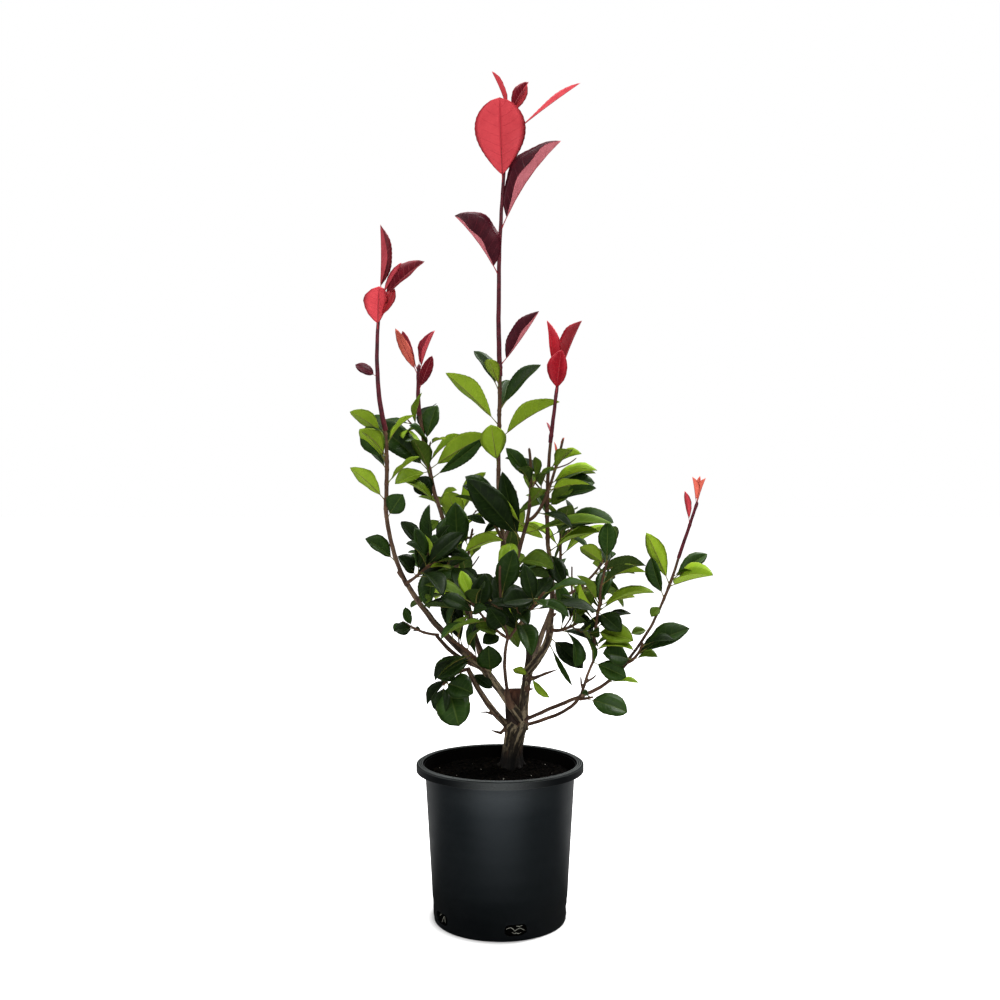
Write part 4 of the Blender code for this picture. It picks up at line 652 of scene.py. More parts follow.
def trial_skin(leaf: Leaf, stalk_from: float = 0.0, spare: float = 0.0) -> Skin:
    """The plain skin of a leaf, as the solids have it, for trying whether the leaf stays clear.

    Args:
        leaf: the leaf.
        stalk_from: how far from the root the stalk begins, in mm.
        spare: what is added all round, in mm.

    Returns:
        Its points in mm and its triangles.
    """
    base, start = blade_frame(leaf)
    side = leaf.chord.cross(leaf.normal)
    thick = max(THICKNESS_SHARE * leaf.length, THINNEST) + 2 * spare
    begin = leaf.root + start * stalk_from
    half = math.radians(leaf.bend) / 2
    up = leaf.normal * math.cos(half) - leaf.chord * math.sin(half)
    points = []
    for centre, size in ((begin, min(0.55 * leaf.stem_radius, PETIOLE_RADIUS)), (base, PETIOLE_RADIUS)):
        size += spare
        points += [centre + side * size + up * size * 0.6, centre - side * size + up * size * 0.6]
        points.append(centre - up * size)
    tilt = math.radians(leaf.fold)
    for along in ROWS:
        point, normal = midrib(leaf, along)
        reach = half_width(leaf, along) + spare
        lift = normal * math.sin(tilt) * reach
        top = normal * thick * 0.5
        points += [point + side * math.cos(tilt) * reach + lift, point + top]
        points += [point - side * math.cos(tilt) * reach + lift, point - top]
    points.append(midrib(leaf, 1.0 + spare / leaf.length)[0])
    faces = [(0, 2, 1), (0, 1, 4), (0, 4, 3), (1, 2, 5), (1, 5, 4), (2, 0, 3), (2, 3, 5)]
    faces += [(3, 4, 7), (3, 7, 6), (4, 8, 7), (3, 6, 9), (3, 9, 5), (5, 9, 8), (5, 8, 4)]
    for row in range(len(ROWS) - 1):
        near = 6 + 4 * row
        for k in range(4):
            after = (k + 1) % 4
            faces.append((near + k, near + after, near + 4 + after))
            faces.append((near + k, near + 4 + after, near + 4 + k))
    last = 6 + 4 * (len(ROWS) - 1)
    faces += [(last + k, last + (k + 1) % 4, len(points) - 1) for k in range(4)]
    return points, faces


def stretch_inside(axis: Vector, start: Vector, radius: float) -> float:
    """How far a stalk runs inside its stem, in mm, from the axis to the bark."""
    return radius / max(axis.cross(start).length, LEAST_SLANT)


def square_to(direction: Vector, wanted: Vector) -> Vector:
    """The direction nearest to wanted that stands at right angles to another."""
    return (wanted - direction * wanted.dot(direction)).normalized()


def placed_leaf(stem: Limb, call: Placed) -> Leaf:
    """The leaf that a Placed row describes."""
    azimuth, rise = (math.radians(value) for value in call.facing)
    face = Vector((math.cos(azimuth) * math.cos(rise), math.sin(azimuth) * math.cos(rise), math.sin(rise)))
    chord = Vector(call.reach).normalized()
    reach = Vector(call.reach).length
    along = min(max(call.along, NEAREST_ROOT / span_of(stem)), 1 - TIP_SINK / span_of(stem))
    radius = radius_on(stem, along)
    petiole = PETIOLE_SHARE * reach
    half = math.radians(call.bend) / 2
    normal = square_to(chord, face)
    inside = stretch_inside(heading_on(stem, along), stalk_way(chord, normal, call.bend), radius)
    length = reach - (inside + petiole) * math.cos(half)
    return Leaf(point_on(stem, along), chord, normal, length, call.width, petiole, call.fold, call.bend,
                radius, inside, call.tint)


def ruled_leaf(stem: Limb, shoot: Shoot, number: int, count: int, seed: int, turn: float,
               shorten: float) -> Leaf:
    """The leaf that the rule sets at one place of a stem.

    Args:
        stem: the stem or side twig that carries it.
        shoot: the shoot whose sizes hold.
        number: which leaf of the stem it is.
        count: how many the stem has.
        seed: the stem's seed.
        turn: how far it is turned aside, in degrees.
        shorten: the share of its length that it keeps.

    Returns:
        The leaf. Its lift is the angle from the stem at which the stalk leaves it.
    """
    dice = random.Random(seed * RULE_SEEDS + number)
    share = (number + 0.5) / count
    along = FIRST_LEAF + (1 - FIRST_LEAF) * share**CROWDING
    angle = math.radians(shoot.first + DIVERGENCE * number + dice.uniform(-1, 1) * AZIMUTH_SPREAD + turn)
    low, high = shoot.lift
    lift = math.radians(low + (high - low) * share + dice.uniform(-1, 1) * LIFT_SPREAD)
    sized = END_SIZE + MIDDLE_MORE * math.sin(math.pi * share)
    length = shoot.length * sized * dice.uniform(*SIZE_SPREAD) * shorten
    roll = math.radians(dice.uniform(-1, 1) * ROLL_SPREAD)
    bend = dice.uniform(*BEND_RANGE)
    fold = dice.uniform(*FOLD_RANGE)
    width = length * dice.uniform(*WIDTH_SHARE)
    tint = DARK if dice.random() < DARK_SHARE else LIGHT
    axis = heading_on(stem, along)
    outward = out_from(axis, angle)
    lean = lift + math.radians(bend) / 2
    chord = axis * math.cos(lean) + outward * math.sin(lean)
    up = axis * math.sin(lean) - outward * math.cos(lean) + Vector((0, 0, LEVELLING))
    normal = Matrix.Rotation(roll, 3, chord) @ square_to(chord, up)
    radius = radius_on(stem, along)
    inside = stretch_inside(axis, stalk_way(chord, normal, bend), radius)
    return Leaf(point_on(stem, along), chord, normal, length, width, PETIOLE_SHARE * length, fold, bend,
                radius, inside, tint)


def side_twig(shoot: Shoot, number: int) -> Limb:
    """A side twig of a shoot's stem, by the same rule."""
    stem = shoot.stem
    dice = random.Random(shoot.seed * TWIG_SEEDS + number)
    along = 0.3 + 0.3 * number
    axis = heading_on(stem, along)
    outward = out_from(axis, math.radians(shoot.first + 180 + DIVERGENCE * number))
    aim = (axis * 0.75 + outward).normalized()
    length = 0.42 * span_of(stem) * dice.uniform(0.9, 1.15)
    foot = point_on(stem, along)
    tip = foot + aim * length + Vector((0, 0, 0.12 * length))
    radius = radius_on(stem, along) * 0.72
    return Limb(stem.name + "_twig", tuple(foot), tuple(tip), (0, 0, -0.05 * length), radius, radius * 0.75)


def dealt_tint(leaf: Leaf, dice: random.Random) -> Tint:
    """The kind of a leaf of the rule: its green is dealt out among near tones, with painted shade that makes
    low leaves dark.
    """
    low, high = LOWER_CROWN_SHADE
    # painted shade: the lower a leaf stands, the darker the greens it is dealt
    shade = min(1.0, max(0.0, (high - leaf.root.z) / (high - low)))
    if leaf.tint == LIGHT and dice.random() > shade:
        return dice.choices((LIGHT, LIME, OLIVE), (6, 3, 2))[0]
    return dice.choices((DARK, DEEP, OLIVE), (5, 4 + 3 * shade, 2 - 1.6 * shade))[0]


def seen_points(leaf: Leaf) -> list[tuple[float, float]]:
    """Where a blade's points show from the viewpoint, across and up on the plane through the pot's middle."""
    side = leaf.chord.cross(leaf.normal)
    tilt = math.radians(leaf.fold)
    shown = []
    for along in SEEN_ROWS:
        centre, normal = midrib(leaf, along)
        reach = half_width(leaf, along) * 0.8
        for way in (-1, 0, 1):
            point = centre + side * math.cos(tilt) * reach * way + normal * math.sin(tilt) * reach * abs(way)
            scale = VIEW_FROM[1] / (VIEW_FROM[1] - point.y)
            shown.append((point.x * scale, VIEW_FROM[2] + (point.z - VIEW_FROM[2]) * scale))
    return shown


def box_of(points: Sequence[Vector]) -> tuple[Vector, Vector]:
    """The least and the greatest corner of the box round some points."""
    low, high = (Vector([pick(point[k] for point in points) for k in range(3)]) for pick in (min, max))
    return low, high


class Crowd:
    """The skins already set, each with its box, so that a new leaf can be tried against those near it."""

    def __init__(self) -> None:
        """Starts with nothing set."""
        self.items: list[tuple[Vector, Vector, BVHTree, str]] = []

    def add(self, points: list[Vector], faces: list[tuple[int, ...]], owner: str) -> None:
        """Keeps a skin. owner names the shoot or limb that it belongs to."""
        self.items.append((*box_of(points), BVHTree.FromPolygons(points, faces), owner))

    def meets(self, points: list[Vector], faces: list[tuple[int, ...]],
              leave_out: Iterable[str] = ()) -> bool:
        """Whether a skin cuts any kept one whose owner isn't left out."""
        low, high = box_of(points)
        tree = None
        for other_low, other_high, other, owner in self.items:
            if owner in leave_out:
                continue
            if any(low[k] > other_high[k] or high[k] < other_low[k] for k in range(3)):
                continue
            tree = tree or BVHTree.FromPolygons(points, faces)
            if tree.overlap(other):
                return True
        return False

    def admits(self, leaf: Leaf, leave_out: Iterable[str]) -> bool:
        """Whether a leaf stays clear of everything set before it, and above the pot."""
        clear = leaf.inside * (1 + STALK_CLEAR / leaf.stem_radius)
        points, faces = trial_skin(leaf, clear, KEEP_OFF)
        if min(point.z for point in points) < LOWEST_LEAF:
            return False
        return not self.meets(points, faces, leave_out)


class Crown:
    """Every stem, twig and leaf of the plant, grown as the solids are, then carried on to finer twigs."""

    def __init__(self, boughs: Sequence[Limb], shoots: Sequence[Shoot]) -> None:
        """Grows the crown.

        Args:
            boughs: the wooden limbs that carry the shoots.
            shoots: the leafy shoots.
        """
        self.crowd = Crowd()
        self.twigs: list[tuple[Limb, Shoot]] = []
        self.placed: list[tuple[Leaf, Shoot]] = []
        self.ruled: list[tuple[Leaf, Shoot]] = []
        self.rows: list[tuple[str, int]] = []
        for limb in boughs:
            self.crowd.add(*tube(limb, 8, 8), limb.name)
        for shoot in shoots:
            self.crowd.add(*tube(shoot.stem, 6, 8), shoot.stem.name)
        for shoot in shoots:
            for row, call in enumerate(shoot.placed):
                leaf = placed_leaf(shoot.stem, call)
                if self.crowd.admits(leaf, (shoot.stem.name,)):
                    self.placed.append((leaf, shoot))
                    self.rows.append((shoot.stem.name, row))
            for leaf in [leaf for leaf, owner in self.placed if owner is shoot]:
                self.crowd.add(*trial_skin(leaf), shoot.stem.name + "_leaf")
        for shoot in shoots:
            self.grow(shoot)

    @property
    def leaves(self) -> list[tuple[Leaf, Shoot]]:
        """Every leaf with the shoot that bears it: the set ones, then those of the rule."""
        return self.placed + self.ruled

    def add_large(self, limbs: dict[str, Limb], shoots: Sequence[Shoot],
                  wanted: dict[str, tuple[Placed, ...]]) -> None:
        """Adds the photo's other large leaves, each in place of the rule's leaves that it would cut.

        Args:
            limbs: every limb and stem, by name.
            shoots: the leafy shoots; the one that starts nearest bears a leaf that stands on a bough.
            wanted: the leaves to set, by the limb that they stand on.
        """
        for name, calls in wanted.items():
            limb = limbs[name]
            bearer = min(shoots, key=lambda shoot: self.away(shoot, limb))
            for call in calls:
                leaf = placed_leaf(limb, call)
                skin = trial_skin(leaf, leaf.inside)
                own = Crowd()
                own.add(*skin, name)
                self.ruled = [kept for kept in self.ruled
                              if not own.meets(*trial_skin(kept[0], kept[0].inside))]
                self.placed.append((leaf, bearer))
                self.crowd.add(*skin, name + "_leaf")

    def away(self, shoot: Shoot, limb: Limb) -> float:
        """How far a shoot starts from a limb's tip, or nothing where the limb is its stem."""
        return 0.0 if shoot.stem is limb else 1.0 + (Vector(shoot.stem.foot) - Vector(limb.tip)).length

    def first_fit(self, stem: Limb, shoot: Shoot, number: int, count: int, seed: int) -> Leaf | None:
        """The first way of setting one leaf of the rule that stays clear, or None."""
        leave_out = (shoot.stem.name,) if number == count - 1 else ()
        for shorten in SHORTENED:
            for turn in TURNS:
                leaf = ruled_leaf(stem, shoot, number, count, seed, turn, shorten)
                if leaf.length + leaf.petiole <= shoot.length * SPACE and self.crowd.admits(leaf, leave_out):
                    return leaf
        return None

    def grow(self, shoot: Shoot) -> None:
        """Adds the side twigs and the leaves that the rule gives to one shoot."""
        name = shoot.stem.name
        stems = [(shoot.stem, shoot.leaves, shoot.seed)]
        for number in range(shoot.twigs):
            twig = side_twig(shoot, number)
            skin = tube(twig, 6, 4)
            if not self.crowd.meets(*skin, (name,)):
                self.crowd.add(*skin, name)
                self.twigs.append((twig, shoot))
                stems.append((twig, TWIG_LEAVES, shoot.seed + 500 + number))
        for stem, count, seed in stems:
            for number in range(count):
                leaf = self.first_fit(stem, shoot, number, count, seed)
                if leaf:
                    self.crowd.add(*trial_skin(leaf), name + "_leaf")
                    self.ruled.append((leaf, shoot))

    def refine(self, shoots: Sequence[Shoot]) -> None:
        """Carries the rule on: fine side twigs with small leaves, where they stay clear."""
        for shoot in shoots:
            if shoot.red or shoot.leaves < FEWEST_FOR_FINE:
                continue
            for number, along in enumerate(FINE_TWIGS):
                self.fine_twig(shoot, number, along)

    def fine_twig(self, shoot: Shoot, number: int, along: float) -> None:
        """Tries one fine twig on a shoot, turned until it stays clear, with its few small leaves."""
        dice = random.Random(shoot.seed * FINE_SEEDS + number)
        stem = shoot.stem
        name = stem.name
        axis = heading_on(stem, along)
        first, second = across(axis)
        foot = point_on(stem, along)
        radius = radius_on(stem, along) * 0.55
        length = FINE_LENGTH * dice.uniform(0.8, 1.2)
        for turn in FINE_TURNS:
            angle = math.radians(shoot.first + 60 + DIVERGENCE * number * 2 + turn)
            aim = (axis * 0.9 + first * math.cos(angle) + second * math.sin(angle)).normalized()
            twig = Limb(name + "_fine", tuple(foot + aim * radius), tuple(foot + aim * length),
                        (0, 0, -0.06 * length), radius, radius * 0.7)
            skin = tube(twig, 6, 3)
            if self.crowd.meets(*skin, (name,)):
                continue
            young = shoot._replace(length=FINE_LEAF, lift=(48, 28), first=shoot.first + turn)
            seed = shoot.seed + 900 + number
            found = [self.first_fit(twig, young, k, FINE_LEAVES, seed) for k in range(FINE_LEAVES)]
            kept = [leaf for leaf in found if leaf]
            if len(kept) < 2:
                continue
            self.crowd.add(*skin, name)
            self.twigs.append((twig, shoot))
            for leaf in kept:
                if self.crowd.admits(leaf, (name,)):
                    self.crowd.add(*trial_skin(leaf), name + "_leaf")
                    self.ruled.append((leaf, shoot))
            return

    def open_gaps(self, gaps: Sequence[tuple[float, float, float]]) -> None:
        """Takes out the rule's leaves that close a gap in the photo's crown, and the fine twigs left bare.

        Args:
            gaps: each gap's place across and up, and its radius, in mm on the plane through the pot's middle.
        """
        self.ruled = [(leaf, shoot) for leaf, shoot in self.ruled
                      if not any(math.hypot(x - across_, z - up) < radius
                                 for x, z in seen_points(leaf) for across_, up, radius in gaps)]
        roots = [leaf.root for leaf, _ in self.leaves]
        self.twigs = [(twig, shoot) for twig, shoot in self.twigs
                      if any((root - point_on(twig, step / 8)).length < NEAR_LEAF
                             for root in roots for step in range(9))]

    def restyle(self, changes: dict[tuple[str, int], Reshape]) -> None:
        """Gives the leaves their final looks: life size, deeper folds, dealt tints, and the closer shapes.

        Args:
            changes: the closer shapes, by stem and row.
        """
        for number, (leaf, shoot) in enumerate(self.placed):
            change = changes.get(self.rows[number]) if number < len(self.rows) else None
            if change:
                leaf = placed_leaf(shoot.stem, change.call)
                leaf = leaf._replace(skew=change.skew, fullness=change.fullness)
            else:
                leaf = leaf._replace(fold=leaf.fold * FOLD_GAIN + FOLD_MORE)
            self.placed[number] = (leaf, shoot)
        for number, (leaf, shoot) in enumerate(self.ruled):
            dice = random.Random(LOOKS_SEED + number)
            tint = dealt_tint(leaf, dice)
            leaf = leaf._replace(length=leaf.length * LIFE_SIZE, width=leaf.width * LIFE_SIZE,
                                 fold=leaf.fold * FOLD_GAIN + FOLD_MORE, tint=RETINTED.get(number, tint),
                                 skew=dice.uniform(*SKEW_RANGE))
            self.ruled[number] = (leaf, shoot)


class Graph:
    """A short way of adding and joining the nodes of one material or node group."""

    def __init__(self, tree: bpy.types.NodeTree) -> None:
        """Takes the tree that nodes go into."""
        self.tree = tree

    def add(self, kind: str, **values: object) -> bpy.types.Node:
        """Adds a node.

        Args:
            kind: the node's type, without the word ShaderNode in front.
            values: its own settings, and numbers or sockets for its inputs, by name or by place as i0, i1.

        Returns:
            The node.
        """
        node = self.tree.nodes.new("ShaderNode" + kind)
        for key, value in values.items():
            if key[0] == "i" and key[1:].isdigit():
                self.feed(node.inputs[int(key[1:])], value)
            elif hasattr(node, key):
                setattr(node, key, value)
            else:
                self.feed(node.inputs[key.replace("_", " ")], value)
        return node

    def feed(self, socket: bpy.types.NodeSocket, value: object) -> None:
        """Gives a socket a number or colour, or joins it to an output."""
        if isinstance(value, bpy.types.NodeSocket):
            self.tree.links.new(value, socket)
        elif isinstance(value, tuple) and len(value) == 3 and socket.type == "RGBA":
            socket.default_value = (*value, 1.0)
        else:
            socket.default_value = value

    def sum(self, operation: str, *terms: object) -> bpy.types.NodeSocket:
        """The result of a math node on up to three terms."""
        numbered = {f"i{k}": term for k, term in enumerate(terms)}
        return self.add("Math", operation=operation, **numbered).outputs[0]

    def blend(self, share: object, first: object, second: object) -> bpy.types.NodeSocket:
        """A colour between two others."""
        return self.add("Mix", data_type="RGBA", i0=share, i6=first, i7=second).outputs[2]

    def steps(self, value: object, *ends: float) -> bpy.types.NodeSocket:
        """A value spread from one range to another, 0 to 1 if none is given, and held at the ends."""
        ranged = {f"i{k + 1}": end for k, end in enumerate(ends)}
        return self.add("MapRange", clamp=True, i0=value, **ranged).outputs[0]

    def place(self) -> bpy.types.NodeSocket:
        """The place on the object."""
        return self.add("TexCoord").outputs["Object"]


def new_group(name: str, inputs: dict[str, float],
              outputs: Sequence[str]) -> tuple[Graph, bpy.types.Node, bpy.types.Node]:
    """Starts a node group.

    Args:
        name: the group's name.
        inputs: its number inputs and their usual values.
        outputs: its number outputs.

    Returns:
        A Graph on the group's tree, and its input and output nodes.
    """
    tree = bpy.data.node_groups.new(name, "ShaderNodeTree")
    for key, value in inputs.items():
        tree.interface.new_socket(key, in_out="INPUT", socket_type="NodeSocketFloat").default_value = value
    for key in outputs:
        tree.interface.new_socket(key, in_out="OUTPUT", socket_type="NodeSocketFloat")
    return Graph(tree), tree.nodes.new("NodeGroupInput"), tree.nodes.new("NodeGroupOutput")


def build_mottle() -> None:
    """Soft patches over an object: broad ones in Patches, and fine grain in Grain."""
    graph, start, end = new_group("Mottle", {"Scale": 60.0, "Grain Scale": 900.0}, ("Patches", "Grain"))
    place = graph.place()
    broad = graph.add("TexNoise", Vector=place, Scale=start.outputs["Scale"], Detail=3.0, Roughness=0.55)
    fine = graph.add("TexNoise", Vector=place, Scale=start.outputs["Grain Scale"], Detail=2.0)
    graph.feed(end.inputs["Patches"], graph.steps(broad.outputs[0], 0.34, 0.68))
    graph.feed(end.inputs["Grain"], fine.outputs[0])


def build_veins() -> None:
    """The veins of a leaf from its own map: U runs across the blade and V along it."""
    usual = {"Pairs": 8.0, "Slant": 1.3, "Width": 0.08}
    graph, start, end = new_group("Leaf veins", usual, ("Veins", "Edge"))
    place = graph.add("SeparateXYZ", i0=graph.add("UVMap", uv_map="blade").outputs[0])
    aside = graph.sum("ABSOLUTE", graph.sum("MULTIPLY_ADD", place.outputs[0], 2.0, -1.0))
    bowed = graph.sum("MULTIPLY", graph.sum("POWER", aside, 1.25), start.outputs["Slant"])
    course = graph.sum("SUBTRACT", graph.sum("MULTIPLY", place.outputs[1], start.outputs["Pairs"]), bowed)
    away = graph.sum("DIVIDE", graph.sum("PINGPONG", course, 0.5), start.outputs["Width"])
    lateral = graph.sum("SUBTRACT", 1.0, graph.sum("SMOOTH_MIN", away, 1.0, 0.2))
    fading = graph.sum("MULTIPLY", lateral, graph.steps(aside, 0.55, 0.95, 1.0, 0.0))
    middle = graph.steps(aside, 0.02, 0.085, 1.0, 0.0)
    graph.feed(end.inputs["Veins"], graph.sum("MAXIMUM", graph.sum("MULTIPLY", fading, 0.6), middle))
    graph.feed(end.inputs["Edge"], graph.steps(aside, 0.9, 1.0))


class Paint(Graph):
    """The nodes of one new material: its shader, the shared patches and grain, and what they feed."""

    def __init__(self, name: str, scale: float, grain_scale: float) -> None:
        """Starts the material.

        Args:
            name: its name.
            scale: how fine its patches are.
            grain_scale: how fine its grain is.
        """
        self.material = bpy.data.materials.new(name)
        self.material.use_nodes = True
        super().__init__(self.material.node_tree)
        self.patches, self.grain = self.group("Mottle", Scale=scale, Grain_Scale=grain_scale).outputs

    def group(self, name: str, **values: object) -> bpy.types.Node:
        """One of the shared groups, with its own values."""
        return self.add("Group", node_tree=bpy.data.node_groups[name], **values)

    def attribute(self, name: str) -> bpy.types.NodeSocket:
        """A number that the mesh holds at each point."""
        return self.add("Attribute", attribute_name=name).outputs["Fac"]

    def lit(self, colour: object, value: object) -> bpy.types.NodeSocket:
        """A colour made darker or lighter by a factor."""
        return self.add("HueSaturation", Color=colour, Value=value).outputs[0]

    def grained(self, low: float, high: float) -> bpy.types.NodeSocket:
        """A number that follows the grain between two ends."""
        return self.steps(self.grain, 0.3, 0.7, low, high)

    def bump(self, strength: float, depth: float, height: object,
             invert: bool = False) -> bpy.types.NodeSocket:
        """The normal of a relief, with its depth in metres."""
        return self.add("Bump", Strength=strength, Distance=depth, Height=height, invert=invert).outputs[0]

    def finish(self, **values: object) -> bpy.types.Material:
        """Feeds the shader's inputs, named with _ in place of each space, and gives back the material."""
        for key, value in values.items():
            self.feed(self.tree.nodes["Principled BSDF"].inputs[key.replace("_", " ")], value)
        return self.material


@dataclass(frozen=True)
class BladeFinish:
    """The finish of one side of a kind of leaf."""

    name: str
    colour: Colour
    shade: Colour
    vein: Colour
    vein_share: float
    roughness: float
    coat: float = 0.0
    relief: float = 0.6

    def material(self) -> bpy.types.Material:
        """Builds the material, with the veins, a paler rim that is a painted highlight, and each leaf's own
        tone.
        """
        paint = Paint(self.name, 95.0, 1500.0)
        veins, edge = paint.group("Leaf veins").outputs
        blade = paint.blend(paint.patches, self.colour, self.shade)
        marked = paint.blend(paint.sum("MULTIPLY", veins, self.vein_share), blade, self.vein)
        # painted highlight: the rim of every leaf is paled towards the vein colour
        rim_highlighted = paint.blend(paint.sum("MULTIPLY", edge, 0.8), marked, self.vein)
        tone = paint.steps(paint.attribute("tone"), 0.0, 1.0, 0.70, 1.30)
        height = paint.sum("MULTIPLY_ADD", paint.grain, 0.25, veins)
        return paint.finish(
            Base_Color=paint.lit(rim_highlighted, tone),
            Roughness=paint.grained(self.roughness - 0.05, self.roughness + 0.07),
            Coat_Weight=self.coat, Coat_Roughness=0.25, Specular_IOR_Level=0.12,
            Normal=paint.bump(abs(self.relief), 0.0005, height, self.relief < 0))


@dataclass(frozen=True)
class StemFinish:
    """The finish of young stems and leaf stalks."""

    name: str
    colour: Colour
    shade: Colour
    roughness: float

    def material(self) -> bpy.types.Material:
        """Builds the material, with pale pores."""
        paint = Paint(self.name, 140.0, 1300.0)
        specks = paint.add("TexVoronoi", Vector=paint.place(), Scale=420.0)
        pores = paint.steps(specks.outputs["Distance"], 0.10, 0.22, 1.0, 0.0)
        skin = paint.blend(paint.patches, self.colour, self.shade)
        pale = tuple(min(1.0, 2.6 * value + 0.02) for value in self.colour)
        height = paint.sum("ADD", pores, paint.sum("MULTIPLY", paint.grain, 0.6))
        return paint.finish(
            Base_Color=paint.blend(paint.sum("MULTIPLY", pores, 0.35), skin, pale), Roughness=self.roughness,
            Specular_IOR_Level=0.25, Normal=paint.bump(0.35, 0.0004, height))


@dataclass(frozen=True)
class BarkFinish:
    """Bark that goes from the grey-brown of old wood to the darker, redder skin of younger boughs, with
    painted shade at the foot.
    """

    name: str
    old: Colour
    old_pale: Colour
    young: Colour
    young_pale: Colour
    crack: Colour
    painted_shade_from: float = 0.185
    painted_shade_to: float = 0.210

    def material(self) -> bpy.types.Material:
        """Builds the material from the mesh's own age, hollow and streak attributes, darkened at the foot as
        painted shade.
        """
        paint = Paint(self.name, 85.0, 1100.0)
        streak = paint.attribute("streak")
        old = paint.blend(paint.steps(streak, 0.32, 0.78), self.old, self.old_pale)
        young = paint.blend(paint.patches, self.young, self.young_pale)
        wood = paint.blend(paint.attribute("age"), young, old)
        cracked = paint.blend(paint.steps(paint.attribute("hollow"), 0.25, 0.85), wood, self.crack)
        height = paint.add("SeparateXYZ", i0=paint.place()).outputs[2]
        # painted shade: the bark darkens almost to black towards the trunk's foot, below the pot's rim
        foot_shade = paint.steps(height, self.painted_shade_from, self.painted_shade_to, 0.04, 1.0)
        light = paint.sum("MULTIPLY", paint.steps(paint.grain, 0.25, 0.75, 0.70, 1.25),
                          paint.steps(streak, 0.0, 1.0, 0.62, 1.30))
        return paint.finish(
            Base_Color=paint.lit(cracked, paint.sum("MULTIPLY", light, foot_shade)),
            Roughness=paint.grained(0.72, 0.92), Specular_IOR_Level=0.3,
            Normal=paint.bump(0.6, 0.0008, paint.grain))


@dataclass(frozen=True)
class PlasticFinish:
    """Moulded black plastic: satin with faint flow marks and fine pitting, with painted highlights on its
    ridges and lip.
    """

    name: str
    colour: Colour
    worn: Colour
    dust: Colour
    highlight_colour: Colour
    roughness: float
    gloss: float

    def material(self) -> bpy.types.Material:
        """Builds the material, with the mesh's own painted highlight attribute."""
        paint = Paint(self.name, 22.0, 1700.0)
        place = paint.place()
        flow = paint.add("Mapping", Vector=place, Scale=(9.0, 9.0, 70.0)).outputs[0]
        streaks = paint.add("TexNoise", Vector=flow, Scale=1.0, Detail=3.0).outputs[0]
        height = paint.add("SeparateXYZ", i0=place).outputs[2]
        low = paint.sum("MULTIPLY_ADD", paint.steps(height, 0.0, 0.05, 1.0, 0.0), 0.2, 0.04)
        skin = paint.blend(paint.steps(streaks, 0.3, 0.75), self.colour, self.worn)
        dusty = paint.blend(paint.sum("MULTIPLY", low, paint.patches), skin, self.dust)
        # painted highlights: glints on the ridges and the rim's edge, and a highlight on the front of the lip
        # and neck
        scuff = paint.sum("MULTIPLY", paint.attribute("scuff"), paint.steps(paint.grain, 0.3, 0.6, 0.4, 1.0))
        marked = paint.blend(scuff, dusty, self.highlight_colour)
        # painted shade: the plastic is darkened towards the bottom and brightened a little at the top
        return paint.finish(
            Base_Color=paint.lit(marked, paint.steps(height, 0.0, 0.15, 0.45, 1.15)),
            Roughness=paint.steps(streaks, 0.3, 0.7, self.roughness - 0.03, self.roughness + 0.05),
            Specular_IOR_Level=self.gloss, Specular_Tint=(0.80, 0.90, 1.0),
            Normal=paint.bump(0.22, 0.0003, paint.grain))


@dataclass(frozen=True)
class MixFinish:
    """Damp potting mix, or one kind of chip in it."""

    name: str
    colour: Colour
    shade: Colour
    roughness: float

    def material(self) -> bpy.types.Material:
        """Builds the material."""
        paint = Paint(self.name, 260.0, 1600.0)
        return paint.finish(
            Base_Color=paint.blend(paint.patches, self.colour, self.shade), Specular_IOR_Level=0.02,
            Roughness=paint.grained(self.roughness - 0.12, self.roughness + 0.06),
            Normal=paint.bump(0.7, 0.0008, paint.grain))


@dataclass(frozen=True)
class FloorFinish:
    """A pale studio floor: its far part shows white, and to gloss it is a painted reflection, bright in one
    place in front.
    """

    name: str
    colour: Colour
    shade: Colour
    near: float = 0.0795
    far: float = 0.094
    mirrored: Triple = (-0.05, -1.0, 0.0)
    mirror_inner: float = 0.38
    mirror_outer: float = 0.78
    mirror_least: float = 0.02
    mirror_back: float = 0.22

    def material(self) -> bpy.types.Material:
        """Builds the material."""
        paint = Paint(self.name, 9.0, 400.0)
        place = paint.place()
        path = paint.add("LightPath")
        away = paint.add("VectorMath", operation="LENGTH", i0=place).outputs["Value"]
        shown = paint.sum("MULTIPLY", path.outputs["Is Camera Ray"], paint.steps(away, self.near, self.far))
        # painted reflection: to glossy rays the floor is darkened except a bright patch in front and a band
        # behind the pot, which give the pot its highlight and its lit edges
        off = paint.add("VectorMath", operation="DISTANCE", i0=place, i1=self.mirrored).outputs["Value"]
        bright = paint.steps(off, self.mirror_inner, self.mirror_outer, 1.0, self.mirror_least)
        back = paint.add("SeparateXYZ", i0=place).outputs[1]
        mirrored = paint.sum("MAXIMUM", bright, paint.steps(back, 0.03, 0.22, 0.0, self.mirror_back))
        kept = paint.sum("MAXIMUM", mirrored, paint.sum("SUBTRACT", 1.0, path.outputs["Is Glossy Ray"]))
        colour = paint.blend(paint.patches, self.colour, self.shade)
        return paint.finish(Base_Color=paint.lit(colour, kept), Roughness=paint.grained(0.85, 0.95),
                            Emission_Color=(1.0, 1.0, 1.0), Emission_Strength=shown)


def leaf_sides(kind: str, upper: tuple, under: tuple) -> tuple[BladeFinish, BladeFinish]:
    """The finishes of a leaf's upper side, whose veins are sunk, and its under side, where they rise."""
    return BladeFinish(f"leaf_{kind}_upper", *upper, relief=-0.5), BladeFinish(f"leaf_{kind}_under", *under)
